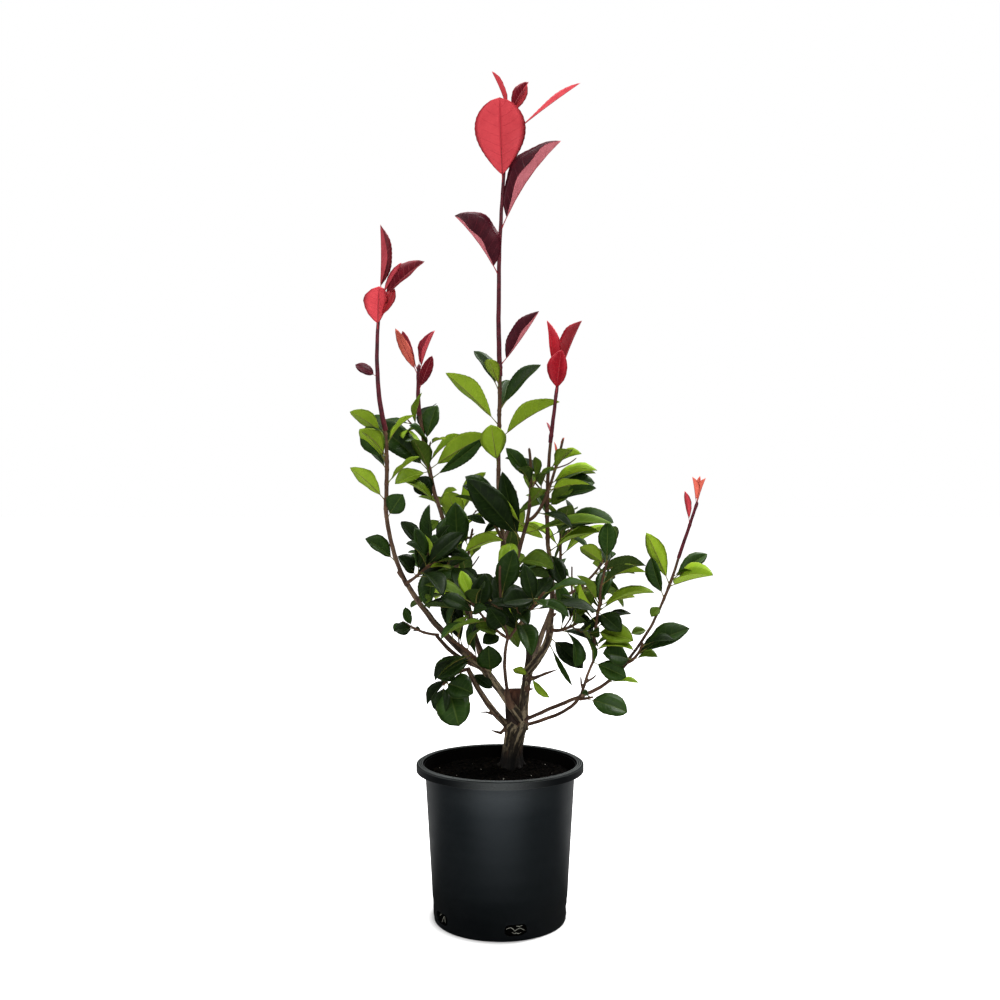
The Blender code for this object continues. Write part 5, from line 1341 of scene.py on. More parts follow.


# For each side: blade, its darker or paler patches, veins, whose colour also paints a highlight on the rim,
# and how much they show, roughness, and the upper side's coat where it has one
LEAF_FINISHES = {
    DARK: leaf_sides(
        "green", ((0.013, 0.036, 0.004), (0.021, 0.050, 0.006), (0.070, 0.110, 0.018), 0.50, 0.46, 0.02),
        ((0.080, 0.135, 0.010), (0.058, 0.105, 0.008), (0.170, 0.230, 0.035), 0.50, 0.55)),
    DEEP: leaf_sides(
        "deep", ((0.0050, 0.013, 0.0016), (0.009, 0.022, 0.0026), (0.030, 0.054, 0.008), 0.45, 0.46, 0.02),
        ((0.038, 0.070, 0.007), (0.026, 0.052, 0.006), (0.100, 0.150, 0.022), 0.50, 0.55)),
    OLIVE: leaf_sides(
        "olive", ((0.060, 0.110, 0.007), (0.085, 0.145, 0.009), (0.155, 0.210, 0.026), 0.50, 0.44, 0.04),
        ((0.130, 0.205, 0.013), (0.100, 0.165, 0.011), (0.220, 0.290, 0.040), 0.50, 0.52)),
    LIGHT: leaf_sides(
        "bright", ((0.150, 0.250, 0.010), (0.195, 0.305, 0.012), (0.290, 0.380, 0.045), 0.50, 0.44, 0.04),
        ((0.240, 0.360, 0.018), (0.200, 0.310, 0.014), (0.340, 0.430, 0.065), 0.50, 0.50)),
    LIME: leaf_sides(
        "lime", ((0.235, 0.350, 0.018), (0.285, 0.410, 0.022), (0.370, 0.470, 0.065), 0.45, 0.46, 0.03),
        ((0.310, 0.430, 0.030), (0.265, 0.380, 0.024), (0.400, 0.500, 0.090), 0.50, 0.50)),
    CORAL: leaf_sides(
        "coral", ((0.360, 0.022, 0.030), (0.420, 0.030, 0.038), (0.500, 0.080, 0.080), 0.45, 0.34, 0.15),
        ((0.600, 0.056, 0.070), (0.540, 0.046, 0.060), (0.380, 0.012, 0.026), 0.60, 0.50)),
    SCARLET: leaf_sides(
        "scarlet", ((0.370, 0.012, 0.022), (0.300, 0.010, 0.020), (0.520, 0.060, 0.070), 0.45, 0.40),
        ((0.530, 0.050, 0.062), (0.450, 0.036, 0.050), (0.330, 0.010, 0.022), 0.50, 0.50)),
    MAROON: leaf_sides(
        "maroon", ((0.048, 0.006, 0.012), (0.075, 0.009, 0.016), (0.180, 0.020, 0.035), 0.55, 0.34, 0.12),
        ((0.700, 0.200, 0.235), (0.600, 0.150, 0.180), (0.300, 0.030, 0.046), 0.40, 0.50)),
    CRIMSON: leaf_sides(
        "crimson", ((0.200, 0.008, 0.018), (0.130, 0.006, 0.014), (0.560, 0.130, 0.140), 0.60, 0.42),
        ((0.560, 0.070, 0.090), (0.440, 0.044, 0.062), (0.330, 0.010, 0.022), 0.50, 0.50)),
    ORANGE: leaf_sides(
        "orange", ((0.420, 0.060, 0.024), (0.330, 0.040, 0.022), (0.520, 0.120, 0.050), 0.45, 0.38, 0.10),
        ((0.760, 0.160, 0.110), (0.660, 0.120, 0.080), (0.300, 0.030, 0.020), 0.45, 0.50)),
}
GREEN_STEM = StemFinish("young_brown_stem", (0.060, 0.028, 0.016), (0.105, 0.050, 0.024), 0.55)
RED_STEM = StemFinish("young_red_stem", (0.055, 0.006, 0.012), (0.120, 0.010, 0.020), 0.50)
GREEN_STALK = StemFinish("green_leaf_stalk", (0.120, 0.150, 0.022), (0.170, 0.110, 0.030), 0.50)
RED_STALK = StemFinish("red_leaf_stalk", (0.300, 0.024, 0.034), (0.400, 0.050, 0.055), 0.45)
LEAF_BUD = StemFinish("leaf_bud", (0.140, 0.045, 0.020), (0.180, 0.100, 0.030), 0.50)
BARK = BarkFinish("shrub_bark", (0.048, 0.035, 0.020), (0.190, 0.150, 0.092), (0.058, 0.026, 0.016),
                  (0.120, 0.068, 0.040), (0.010, 0.007, 0.005))
CUT_WOOD = BarkFinish("pruned_wood", (0.085, 0.028, 0.015), (0.125, 0.050, 0.028), (0.026, 0.015, 0.011),
                      (0.046, 0.030, 0.022), (0.012, 0.006, 0.005))
# The fourth colour of each pot plastic is the colour of its painted highlights
POT_PLASTIC = PlasticFinish("black_pot_plastic", (0.0052, 0.0072, 0.0084), (0.0074, 0.0098, 0.0112),
                            (0.016, 0.017, 0.017), (0.220, 0.235, 0.240), 0.32, 0.44)
# The rim is a darker copy of the pot's plastic, as painted shade on its top and lip
SHADED_RIM_PLASTIC = PlasticFinish("black_rim_plastic", (0.0012, 0.0015, 0.0018), (0.0024, 0.0030, 0.0034),
                            (0.008, 0.008, 0.008), (0.220, 0.235, 0.230), 0.40, 0.14)
# The pot's soiled inside, the damp mix and its chips are near black, darker than soil makes them: partly
# painted shade inside the pot
SOILED_SHADED_PLASTIC = MixFinish("soiled_pot_inside", (0.0012, 0.0011, 0.0010), (0.0020, 0.0017, 0.0014), 0.90)
DAMP_SHADED_MIX = MixFinish("damp_potting_mix", (0.0010, 0.0009, 0.0008), (0.0020, 0.0017, 0.0014), 0.90)
DARK_CHIP = MixFinish("dark_bark_chip", (0.0016, 0.0013, 0.0011), (0.0034, 0.0027, 0.0022), 0.85)
BROWN_CHIP = MixFinish("brown_bark_chip", (0.0040, 0.0028, 0.0020), (0.0080, 0.0056, 0.0040), 0.85)
ROOT_THREAD = MixFinish("root_thread", (0.360, 0.370, 0.320), (0.220, 0.215, 0.180), 0.70)
PALE_CHIP = MixFinish("pale_grit", (0.200, 0.185, 0.160), (0.300, 0.285, 0.250), 0.80)
FLOOR_FINISH = FloorFinish("pale_floor", (0.86, 0.86, 0.855), (0.88, 0.88, 0.875))


Finish = BladeFinish | StemFinish | BarkFinish | PlasticFinish | MixFinish
CHIPS = (DARK_CHIP, BROWN_CHIP, PALE_CHIP)


def add_object(name: str, data: bpy.types.ID) -> bpy.types.Object:
    """A new object in the scene."""
    obj = bpy.data.objects.new(name, data)
    bpy.context.scene.collection.objects.link(obj)
    return obj


def write_numbers(mesh: bpy.types.Mesh, name: str, values: Sequence[float]) -> None:
    """Writes one number for each point of a mesh, for its finish to read."""
    mesh.attributes.new(name, "FLOAT", "POINT").data.foreach_set("value", values)


def to_mesh_object(name: str, source: bpy.types.Object) -> bpy.types.Object:
    """Turns a helper, with its modifiers, into a mesh object of another name, and removes the helper."""
    bpy.context.view_layer.update()
    graph = bpy.context.evaluated_depsgraph_get()
    mesh = bpy.data.meshes.new_from_object(source.evaluated_get(graph))
    mesh.name = name
    bpy.data.objects.remove(source, do_unlink=True)
    return add_object(name, mesh)


def object_of(name: str, work: bmesh.types.BMesh) -> bpy.types.Object:
    """A mesh object from a bmesh, which is freed."""
    mesh = bpy.data.meshes.new(name)
    work.to_mesh(mesh)
    work.free()
    return add_object(name, mesh)


def dress(obj: bpy.types.Object, finishes: Sequence[Finish], nodes: Iterable[str]) -> None:
    """Gives a piece its finishes and body, hides the CAD nodes that it stands for, and logs its triangles.

    Args:
        obj: the piece.
        finishes: its finishes, by the index that its faces name.
        nodes: the CAD nodes that it replaces.
    """
    for finish in finishes:
        obj.data.materials.append(finish.material())
    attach(obj, BODY)
    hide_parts(*nodes)
    obj.data.calc_loop_triangles()
    LOG.info("%s: %d triangles", obj.name, len(obj.data.loop_triangles))


def spun(profile: Sequence[tuple[float, float]], steps: int) -> bmesh.types.BMesh:
    """A turned solid from a closed section that starts and ends on the axis.

    Args:
        profile: (radius, height) pairs in metres.
        steps: how many stretches go round.

    Returns:
        The solid, with its poles merged and its faces outwards.
    """
    work = bmesh.new()
    corners = [work.verts.new((radius, 0, height)) for radius, height in profile]
    edges = [work.edges.new(pair) for pair in zip(corners, corners[1:])]
    bmesh.ops.spin(work, geom=corners + edges, cent=(0, 0, 0), axis=(0, 0, 1), dvec=(0, 0, 0),
                   angle=2 * math.pi, steps=steps, use_merge=True)
    bmesh.ops.remove_doubles(work, verts=work.verts, dist=0.00001)
    bmesh.ops.recalc_face_normals(work, faces=work.faces)
    return work


class SweptStems:
    """Many round stems as one mesh, each swept along its own line with its own radii."""

    def __init__(self, name: str, smoothness: int) -> None:
        """Starts with no stem.

        Args:
            name: the name of the mesh object to come.
            smoothness: the bevel resolution of a stem's section.
        """
        self.name = name
        self.curve = bpy.data.curves.new(name, "CURVE")
        self.curve.dimensions = "3D"
        self.curve.bevel_depth = 1.0
        self.curve.bevel_resolution = smoothness
        self.curve.use_fill_caps = True

    def add(self, points: Sequence[Vector], radii: Sequence[float]) -> None:
        """Adds one stem from points and radii in mm."""
        line = self.curve.splines.new("POLY")
        line.points.add(len(points) - 1)
        for knot, point, radius in zip(line.points, points, radii):
            knot.co = (*(point * MM), 1.0)
            knot.radius = radius * MM

    def finish(self) -> bpy.types.Object:
        """The mesh object."""
        obj = to_mesh_object(self.name, add_object(self.name + "_line", self.curve))
        bpy.data.curves.remove(self.curve)
        obj.data.shade_smooth()
        return obj


@dataclass(frozen=True)
class Blade:
    """A flat leaf blade of two skins that meet at the rim, which every leaf is shaped from."""

    across: np.ndarray
    along: np.ndarray
    side: np.ndarray
    row: np.ndarray
    corners: np.ndarray
    totals: np.ndarray
    under: np.ndarray
    rows: int


FEW_COLUMNS = (-1.0, -0.56, -0.11, 0.0, 0.11, 0.56, 1.0)
COLUMNS = (-1.0, -0.74, -0.42, -0.11, 0.0, 0.11, 0.42, 0.74, 1.0)


def sturdiness(leaf: Leaf) -> float:
    """How thick a leaf is made, as a share of the longest leaves' thickness."""
    return min(1.0, leaf.length / STURDY)


def make_blade(rows: int, columns: Sequence[float]) -> Blade:
    """Makes the flat blade.

    Args:
        rows: how many rows of faces run from the stalk to the tip.
        columns: the places of the points of a row, from one rim to the other.

    Returns:
        The blade's arrays: each point's place across and along, its side, and the faces.
    """
    work = bmesh.new()
    layers = [work.verts.layers.float.new(name) for name in ("across", "along", "side", "row")]
    bmesh.ops.create_grid(work, x_segments=len(columns) - 1, y_segments=rows, size=1.0)
    for vert in work.verts:
        column = columns[round((vert.co.x + 1) / 2 * (len(columns) - 1))]
        row = round((vert.co.y + 1) / 2 * rows)
        share = row / rows
        belly = math.sin(math.pi * share) if 0 < row < rows else 0.0
        for layer, value in zip(layers, (column, share, 1.0, float(row))):
            vert[layer] = value
        vert.co = (column * belly, share, 0.1 * (1 - column**2) * belly)
    copied = bmesh.ops.duplicate(work, geom=work.verts[:] + work.edges[:] + work.faces[:])["geom"]
    for item in copied:
        if isinstance(item, bmesh.types.BMVert):
            item[layers[2]] = -1.0
            item.co.z = -item.co.z
        elif isinstance(item, bmesh.types.BMFace):
            item.material_index = 1
    bmesh.ops.reverse_faces(work, faces=[item for item in copied if isinstance(item, bmesh.types.BMFace)])
    bmesh.ops.remove_doubles(work, verts=work.verts, dist=0.000001)
    work.verts.index_update()
    found = [np.array([vert[layer] for vert in work.verts]) for layer in layers]
    corners = np.array([loop.vert.index for face in work.faces for loop in face.loops], dtype=np.int32)
    totals = np.array([len(face.loops) for face in work.faces], dtype=np.int32)
    under = np.array([face.material_index for face in work.faces], dtype=np.int32)
    work.free()
    return Blade(*found, corners, totals, under, rows)


@dataclass
class LeafShaper:
    """Shapes the flat blade into real leaves: folded, arched, waved, veined and finely toothed."""

    tooth: float = 0.42
    crease: float = 0.05
    belly: float = 0.045
    wave: float = 0.035
    quilt: float = 0.16
    thickness: float = 0.42
    twist: tuple[float, float] = (-11.0, 11.0)
    vein_pairs: float = 8.0
    vein_slant: float = 1.3
    large: float = 62.0
    large_rows: int = 28
    rows: tuple[tuple[float, int], ...] = ((34.0, 12), (18.0, 9), (0.0, 6))
    blades: dict[int, Blade] = field(default_factory=dict)

    def blade_for(self, leaf: Leaf) -> Blade:
        """The flat blade with the right number of rows for a leaf: only the few large ones have many."""
        fine = leaf.length > self.large
        rows = self.large_rows if fine else next(count for least, count in self.rows if leaf.length > least)
        if rows not in self.blades:
            self.blades[rows] = make_blade(rows, COLUMNS if fine else FEW_COLUMNS)
        return self.blades[rows]

    def shape(self, leaf: Leaf, blade: Blade, dice: random.Random) -> np.ndarray:
        """Places every point of a blade for one leaf.

        Args:
            leaf: the leaf to make.
            blade: the flat blade.
            dice: the seeded source of this leaf's own small differences.

        Returns:
            The points in metres, one row each.
        """
        size = sturdiness(leaf)
        u, v = blade.across, blade.along
        aside = np.abs(u)
        inner = np.clip(np.sin(math.pi * np.clip(v, 0, 1) ** leaf.skew), 0, None)
        reach = aside * leaf.width / 2 * inner**leaf.fullness
        rim = (aside > 0.99) * (blade.row % 2)
        reach = reach + rim * self.tooth * size * np.minimum(1, inner * 2)
        tilt = math.radians(leaf.fold)
        crease = self.crease * leaf.width
        flat_x = np.sign(u) * reach * math.cos(tilt)
        rise = math.sin(tilt) * (np.sqrt(reach**2 + crease**2) - crease)
        rise += self.belly * leaf.width * 4 * aside * (1 - aside) * inner
        beats, phase = dice.uniform(1.2, 2.2), dice.uniform(0, 1)
        waved = np.sin(2 * math.pi * (beats * v + phase + 0.37 * (u > 0)))
        rise += self.wave * leaf.width * waved * aside**2 * inner
        course = self.vein_pairs * v - self.vein_slant * aside**1.25
        quilt = self.quilt * size * (blade.rows == self.large_rows)
        rise += quilt * (np.abs(np.sin(math.pi * course)) - 0.6) * inner * (1 - aside**4) * (aside > 0.2)
        sheet = self.thickness * size / 2 * (1 - u**2) * inner**0.3
        middle = aside < 0.05
        rise += blade.side * sheet - middle * size * np.where(blade.side > 0, 0.22, 0.30) * (1 - 0.6 * v)
        turn = math.radians(dice.uniform(*self.twist)) * (v - 0.35)
        x = flat_x * np.cos(turn) - rise * np.sin(turn)
        z = flat_x * np.sin(turn) + rise * np.cos(turn)
        base, _ = blade_frame(leaf)
        bend = math.radians(leaf.bend)
        angle = bend * (v - 0.5)
        forward = (np.sin(angle) + math.sin(bend / 2)) / (2 * math.sin(bend / 2)) * leaf.length
        up = (np.cos(angle) - math.cos(bend / 2)) / (2 * math.sin(bend / 2)) * leaf.length
        chord, normal = np.array(leaf.chord), np.array(leaf.normal)
        side = np.array(leaf.chord.cross(leaf.normal))
        facing = np.outer(np.cos(angle), normal) + np.outer(np.sin(angle), chord)
        points = np.array(base) + np.outer(forward, chord) + np.outer(up, normal)
        return (points + np.outer(x, side) + facing * z[:, None]) * MM


@dataclass
class LeafPile:
    """All the leaves of one kind, gathered into one mesh with an upper and an under side."""

    name: str
    points: list[np.ndarray] = field(default_factory=list)
    corners: list[np.ndarray] = field(default_factory=list)
    totals: list[np.ndarray] = field(default_factory=list)
    under: list[np.ndarray] = field(default_factory=list)
    map: list[np.ndarray] = field(default_factory=list)
    tone: list[np.ndarray] = field(default_factory=list)
    owners: set[str] = field(default_factory=set)
    count: int = 0

    def add(self, points: np.ndarray, blade: Blade, tone: float, owner: str) -> None:
        """Adds one shaped leaf, with its tone from 0 to 1 and the shoot that bears it."""
        self.points.append(points)
        self.corners.append(blade.corners + self.count)
        self.totals.append(blade.totals)
        self.under.append(blade.under)
        self.map.append(np.stack([blade.across * 0.5 + 0.5, blade.along], axis=1)[blade.corners])
        self.tone.append(np.full(len(points), tone))
        self.owners.add(owner)
        self.count += len(points)

    def finish(self) -> bpy.types.Object:
        """The joined mesh object."""
        mesh = bpy.data.meshes.new(self.name)
        points = np.concatenate(self.points)
        corners = np.concatenate(self.corners)
        totals = np.concatenate(self.totals)
        mesh.vertices.add(len(points))
        mesh.vertices.foreach_set("co", points.ravel())
        mesh.loops.add(len(corners))
        mesh.loops.foreach_set("vertex_index", corners)
        mesh.polygons.add(len(totals))
        starts = np.concatenate([[0], np.cumsum(totals)[:-1]]).astype(np.int32)
        mesh.polygons.foreach_set("loop_start", starts)
        mesh.polygons.foreach_set("material_index", np.concatenate(self.under))
        mesh.update(calc_edges=True)
        mesh.uv_layers.new(name="blade").data.foreach_set("uv", np.concatenate(self.map).ravel())
        write_numbers(mesh, "tone", np.concatenate(self.tone))
        mesh.validate()
        mesh.shade_smooth()
        return add_object(self.name, mesh)


def swayed(limb: Limb, share: float, drift: Triple, width: float) -> Vector:
    """A point of a limb's curve, moved aside by a slow wander that dies out at foot and tip.

    Args:
        limb: the limb.
        share: the share of its length.
        drift: the place in the noise.
        width: how far the wander goes, in mm.

    Returns:
        The point, in mm.
    """
    first, second = across(heading_on(limb, share))
    place = Vector(drift)
    sway = first * noise.noise(place) + second * noise.noise(place + Vector((0, 0, 9.1)))
    return point_on(limb, share) + sway * width * math.sin(math.pi * share) ** 0.5


@dataclass
class Foliage:
    """Every leaf, leaf stalk, young stem and bud of the crown."""

    crown: Crown
    shoots: Sequence[Shoot]
    stem_rows: int = 34
    knot: float = 0.20
    knot_spread: float = 1.6
    wander: float = 0.5
    root_radii: tuple[float, ...] = (1.0, 0.8, 0.62, 0.60)
    midrib_radii: tuple[tuple[float, float], ...] = (
        (0.06, 0.58), (0.2, 0.50), (0.4, 0.40), (0.6, 0.30), (0.8, 0.2), (0.93, 0.1))
    shortest_with_bud: float = 24.0
    bud_steps: tuple[float, ...] = (0.0, 0.7, 1.5, 2.3, 2.9)
    bud_radii: tuple[float, ...] = (0.5, 0.85, 0.75, 0.42, 0.08)

    def build_leaves(self) -> None:
        """Shapes and joins the leaves, one piece for each tint."""
        shaper = LeafShaper()
        piles: dict[Tint, LeafPile] = {}
        for number, (leaf, shoot) in enumerate(self.crown.leaves):
            dice = random.Random(SHAPE_SEED + number)
            tint = Tint(leaf.tint)
            pile = piles.setdefault(tint, LeafPile(tint.name.lower() + "_leaves"))
            blade = shaper.blade_for(leaf)
            pile.add(shaper.shape(leaf, blade, dice), blade, dice.random(), shoot.stem.name)
        for tint, pile in piles.items():
            dress(pile.finish(), LEAF_FINISHES[tint], sorted(pile.owners))

    def build_stalks(self) -> None:
        """Sweeps each leaf's stalk from inside the stem, on under the blade as its midrib."""
        for red, name, finish in ((False, "green_stalks", GREEN_STALK), (True, "red_stalks", RED_STALK)):
            stems = SweptStems(name, 1)
            owners = set()
            for leaf, shoot in self.crown.leaves:
                if (leaf.tint in RED_TINTS) != red:
                    continue
                size = sturdiness(leaf)
                base, start = blade_frame(leaf)
                begin = leaf.root + start * leaf.inside * 0.6
                points = [begin, leaf.root + start * (leaf.inside + 0.2 * leaf.petiole),
                          (begin + base) / 2, base]
                radii = list(self.root_radii)
                for along, radius in self.midrib_radii:
                    point, normal = midrib(leaf, along)
                    points.append(point - normal * size * (0.42 - 0.2 * along))
                    radii.append(radius)
                stems.add(points, [radius * max(size, 0.5) for radius in radii])
                owners.add(shoot.stem.name)
            dress(stems.finish(), [finish], sorted(owners))

    def stem_line(self, limb: Limb, knots: Sequence[float], root: float, seed: int, tip: float) -> Line:
        """The line and radii of a young stem, with a swelling at each leaf.

        Args:
            limb: the stem.
            knots: the shares of its length at which leaves stand.
            root: how far it starts behind its foot, in mm.
            seed: the seed of its slight wander.
            tip: how far its soft tip runs on past the limb's, in mm.

        Returns:
            The points and the radii, in mm.
        """
        span = span_of(limb)
        rows = max(6, round(self.stem_rows * span / 90))
        points, radii = [point_on(limb, -root / span)], [limb.foot_radius * 0.96]
        for row in range(rows + 1):
            share = row / rows
            points.append(swayed(limb, share, (share * span / 17, seed * 0.61, 0.0), self.wander))
            swell = sum(math.exp(-(((share - knot) * span) / self.knot_spread) ** 2) for knot in knots)
            radii.append(radius_on(limb, share) * (1 + self.knot * min(swell, 1.2)))
        axis = heading_on(limb, 1.0)
        for step, narrow in ((0.35, 0.86), (0.7, 0.6), (1.0, 0.22)):
            points.append(points[rows + 1] + axis * tip * step)
            radii.append(limb.tip_radius * narrow)
        return points, radii

    def build_stems(self) -> None:
        """Sweeps the young stems and twigs, green-brown below and dark red under the red tips."""
        kinds = ((False, "brown_young_stems", GREEN_STEM), (True, "red_young_stems", RED_STEM))
        for red, name, finish in kinds:
            stems = SweptStems(name, 3)
            owners = []
            for number, shoot in enumerate(self.shoots):
                if shoot.red != red:
                    continue
                knots = self.knots_on(shoot.stem, shoot)
                points, radii = self.stem_line(shoot.stem, knots, shoot.stem.foot_radius + 1.5, number, 2.5)
                stems.add(points, [radius * RED_SWELL if red else radius for radius in radii])
                owners.append(shoot.stem.name)
            for number, (twig, shoot) in enumerate(self.crown.twigs):
                if shoot.red == red:
                    stems.add(*self.stem_line(twig, self.knots_on(twig, shoot), 0.0, 100 + number, 2.0))
            dress(stems.finish(), [finish], owners)

    def knots_on(self, limb: Limb, shoot: Shoot) -> list[float]:
        """Where the leaves of a shoot stand along one of its limbs."""
        return [self.share_on(limb, leaf) for leaf, owner in self.crown.leaves if owner is shoot]

    def share_on(self, limb: Limb, leaf: Leaf) -> float:
        """Where a leaf's root lies along a limb, as a share of it, or far off where it isn't on it."""
        aim = Vector(limb.tip) - Vector(limb.foot)
        share = (leaf.root - Vector(limb.foot)).dot(aim) / aim.length_squared
        near = (leaf.root - point_on(limb, share)).length < 2.5
        return share if near and 0 <= share <= 1 else -9.0

    def build_buds(self) -> None:
        """Sweeps a small pointed bud into the angle between each stalk and its stem."""
        stems = SweptStems("axil_buds", 1)
        owners = set()
        for leaf, shoot in self.crown.leaves:
            if leaf.length < self.shortest_with_bud:
                continue
            _, start = blade_frame(leaf)
            axis = heading_on(shoot.stem, 0.5)
            aim = (start * 0.6 + axis).normalized()
            out = (start - axis * start.dot(axis)).normalized()
            begin = leaf.root + out * leaf.stem_radius * 0.7 + axis * 1.1
            stems.add([begin + aim * step for step in self.bud_steps], self.bud_radii)
            owners.add(shoot.stem.name)
        dress(stems.finish(), [LEAF_BUD], sorted(owners))


@dataclass
class OldWood:
    """Trunk, boughs and their broken stubs in one skin, with the relief of real bark."""

    voxel: float = 0.00068
    kept: float = 0.66
    relief: float = 0.55
    crack: float = 0.65
    samples: int = 26
    roots: tuple[Triple, ...] = ((20, 17, 2.6), (95, 15, 2.2), (165, 18, 2.8), (238, 16, 2.4), (305, 17, 2.6))
    root_steps: tuple[tuple[float, float], ...] = ((26, 8.5), (16, 10.0), (8, 11.6), (3, 13.4))
    root_swell: tuple[float, ...] = (1.2, 1.25, 1.2, 1.05, 0.9)

    def bough_line(self, limb: Limb, number: int) -> Line:
        """A bough's line and radii, run on into what carries it and through its tip into what it carries."""
        span = span_of(limb)
        root = ROOTS.get(limb.name, limb.foot_radius * 0.9 + 2)
        points, radii = [point_on(limb, -root / span)], [limb.foot_radius]
        for row in range(self.samples + 1):
            share = row / self.samples
            points.append(swayed(limb, share, (share * span / 15, number * 0.73, 3.0), 0.7))
            ringed = 0.10 * max(0.0, noise.noise(Vector((share * span / 6.5, number * 1.9, 7.0))))
            radii.append(radius_on(limb, share) * (1 + ringed))
        points.append(point_on(limb, 1.0) + heading_on(limb, 1.0) * 2.6)
        radii.append(limb.tip_radius * 0.97)
        return points, radii

    def trunk_lines(self) -> list[Line]:
        """The trunk's own line and those of the root flares round its foot."""
        foot, top = Vector(TRUNK_FOOT), Vector(TRUNK_TOP)
        points, radii = [], []
        for row in range(21):
            share = row / 20
            points.append(foot.lerp(top, share) + Vector((-1, 1, 0)) * 2 * share * (1 - share) * 2)
            place = share * (len(TRUNK_RADII) - 1)
            low = min(int(place), len(TRUNK_RADII) - 2)
            radii.append(TRUNK_RADII[low] + (TRUNK_RADII[low + 1] - TRUNK_RADII[low]) * (place - low))
        radii[-1] *= 0.86
        lines = [(points, radii)]
        for angle, reach, thick in self.roots:
            out = Vector((math.cos(math.radians(angle)), math.sin(math.radians(angle)), 0))
            steps = (*self.root_steps, (0.6, reach))
            way = [foot + Vector((0, 0, height)) + out * away for height, away in steps]
            lines.append((way, [thick * swell for swell in self.root_swell]))
        return lines

    def build(self) -> None:
        """Sweeps the limbs, melts them into one skin, and raises the bark on it."""
        stems = SweptStems("old_wood", 5)
        lines = self.trunk_lines()
        for number, limb in enumerate(BOUGHS):
            lines.append(self.bough_line(limb, number))
        limbs = {limb.name: limb for limb in BOUGHS}
        for spur in SPURS:
            root = point_on(limbs[spur.limb], spur.along)
            lines.append(([root, *[root + Vector(step) for step in spur.steps]], list(spur.radii)))
        for points, radii in STRANDS:
            lines.append(([Vector(point) for point in points], list(radii)))
        for points, radii in lines:
            stems.add(points, radii)
        obj = stems.finish()
        melt = obj.modifiers.new("melt", "REMESH")
        melt.mode = "VOXEL"
        melt.voxel_size = self.voxel
        soften = obj.modifiers.new("soften", "SMOOTH")
        soften.factor = 0.5
        soften.iterations = 4
        obj = to_mesh_object("melted_wood", obj)
        self.raise_bark(obj, lines)
        thin = obj.modifiers.new("thin", "DECIMATE")
        thin.ratio = self.kept
        obj = to_mesh_object("bark_wood", obj)
        obj.data.shade_smooth()
        dress(obj, [BARK], ["trunk", *[limb.name for limb in BOUGHS]])

    def raise_bark(self, obj: bpy.types.Object, lines: Sequence[Line]) -> None:
        """Moves the skin in and out by grain that runs along each limb, and writes its age and hollows.

        Args:
            obj: the melted wood.
            lines: the points and radii that it was swept from, in mm.
        """
        knots = []
        for line, (points, radii) in enumerate(lines):
            gone = line * 95.0
            for (near, far), radius in zip(zip(points, points[1:]), radii):
                span = (far - near).length
                steps = max(1, int(span))
                axis = (far - near).normalized()
                knots += [(near.lerp(far, k / steps), axis, radius, gone + span * k / steps)
                          for k in range(steps)]
                gone += span
        tree = KDTree(len(knots))
        for number, (point, *_) in enumerate(knots):
            tree.insert(point, number)
        tree.balance()
        mesh = obj.data
        count = len(mesh.vertices)
        places = np.empty(count * 3)
        mesh.vertices.foreach_get("co", places)
        normals = np.empty(count * 3)
        mesh.vertex_normals.foreach_get("vector", normals)
        places, normals = places.reshape(-1, 3) / MM, normals.reshape(-1, 3)
        ages, hollows, streaks, moves = (np.empty(count) for _ in range(4))
        for number in range(count):
            place = Vector(places[number])
            _, nearest, _ = tree.find(place)
            knot, axis, radius, gone = knots[nearest]
            first = axis.cross(Vector((0, 1, 0))).normalized()
            off = place - knot
            run = gone + off.dot(axis)
            grained = Vector((off.dot(first) * 0.62, off.dot(axis.cross(first)) * 0.62, run * 0.085))
            ridge = noise.noise(grained)
            fine = noise.noise(grained * 2.7)
            broad = noise.noise(grained * 0.42 + Vector((0, 0, 31)))
            lumps = noise.noise(place * 0.11)
            age = min(1.0, max(0.0, (radius - 2.4) / 3.2 + 0.15 * lumps))
            deep = max(0.0, 0.45 - abs(ridge) * 3.2)
            ages[number] = age
            hollows[number] = min(1.0, deep * 2.2) * (0.35 + 0.65 * age)
            streaks[number] = min(1.0, max(0.0, 0.5 + 1.5 * broad + 0.55 * fine + 0.4 * ridge))
            wander = self.relief * (0.3 * lumps + 0.42 * fine + 1.25 * broad)
            moves[number] = (wander - self.crack * deep * age) * min(1.0, radius / 5)
        places = (places + normals * moves[:, None]) * MM
        mesh.vertices.foreach_set("co", places.ravel())
        for name, values in (("age", ages), ("hollow", hollows), ("streak", streaks)):
            write_numbers(mesh, name, values)
        mesh.update()


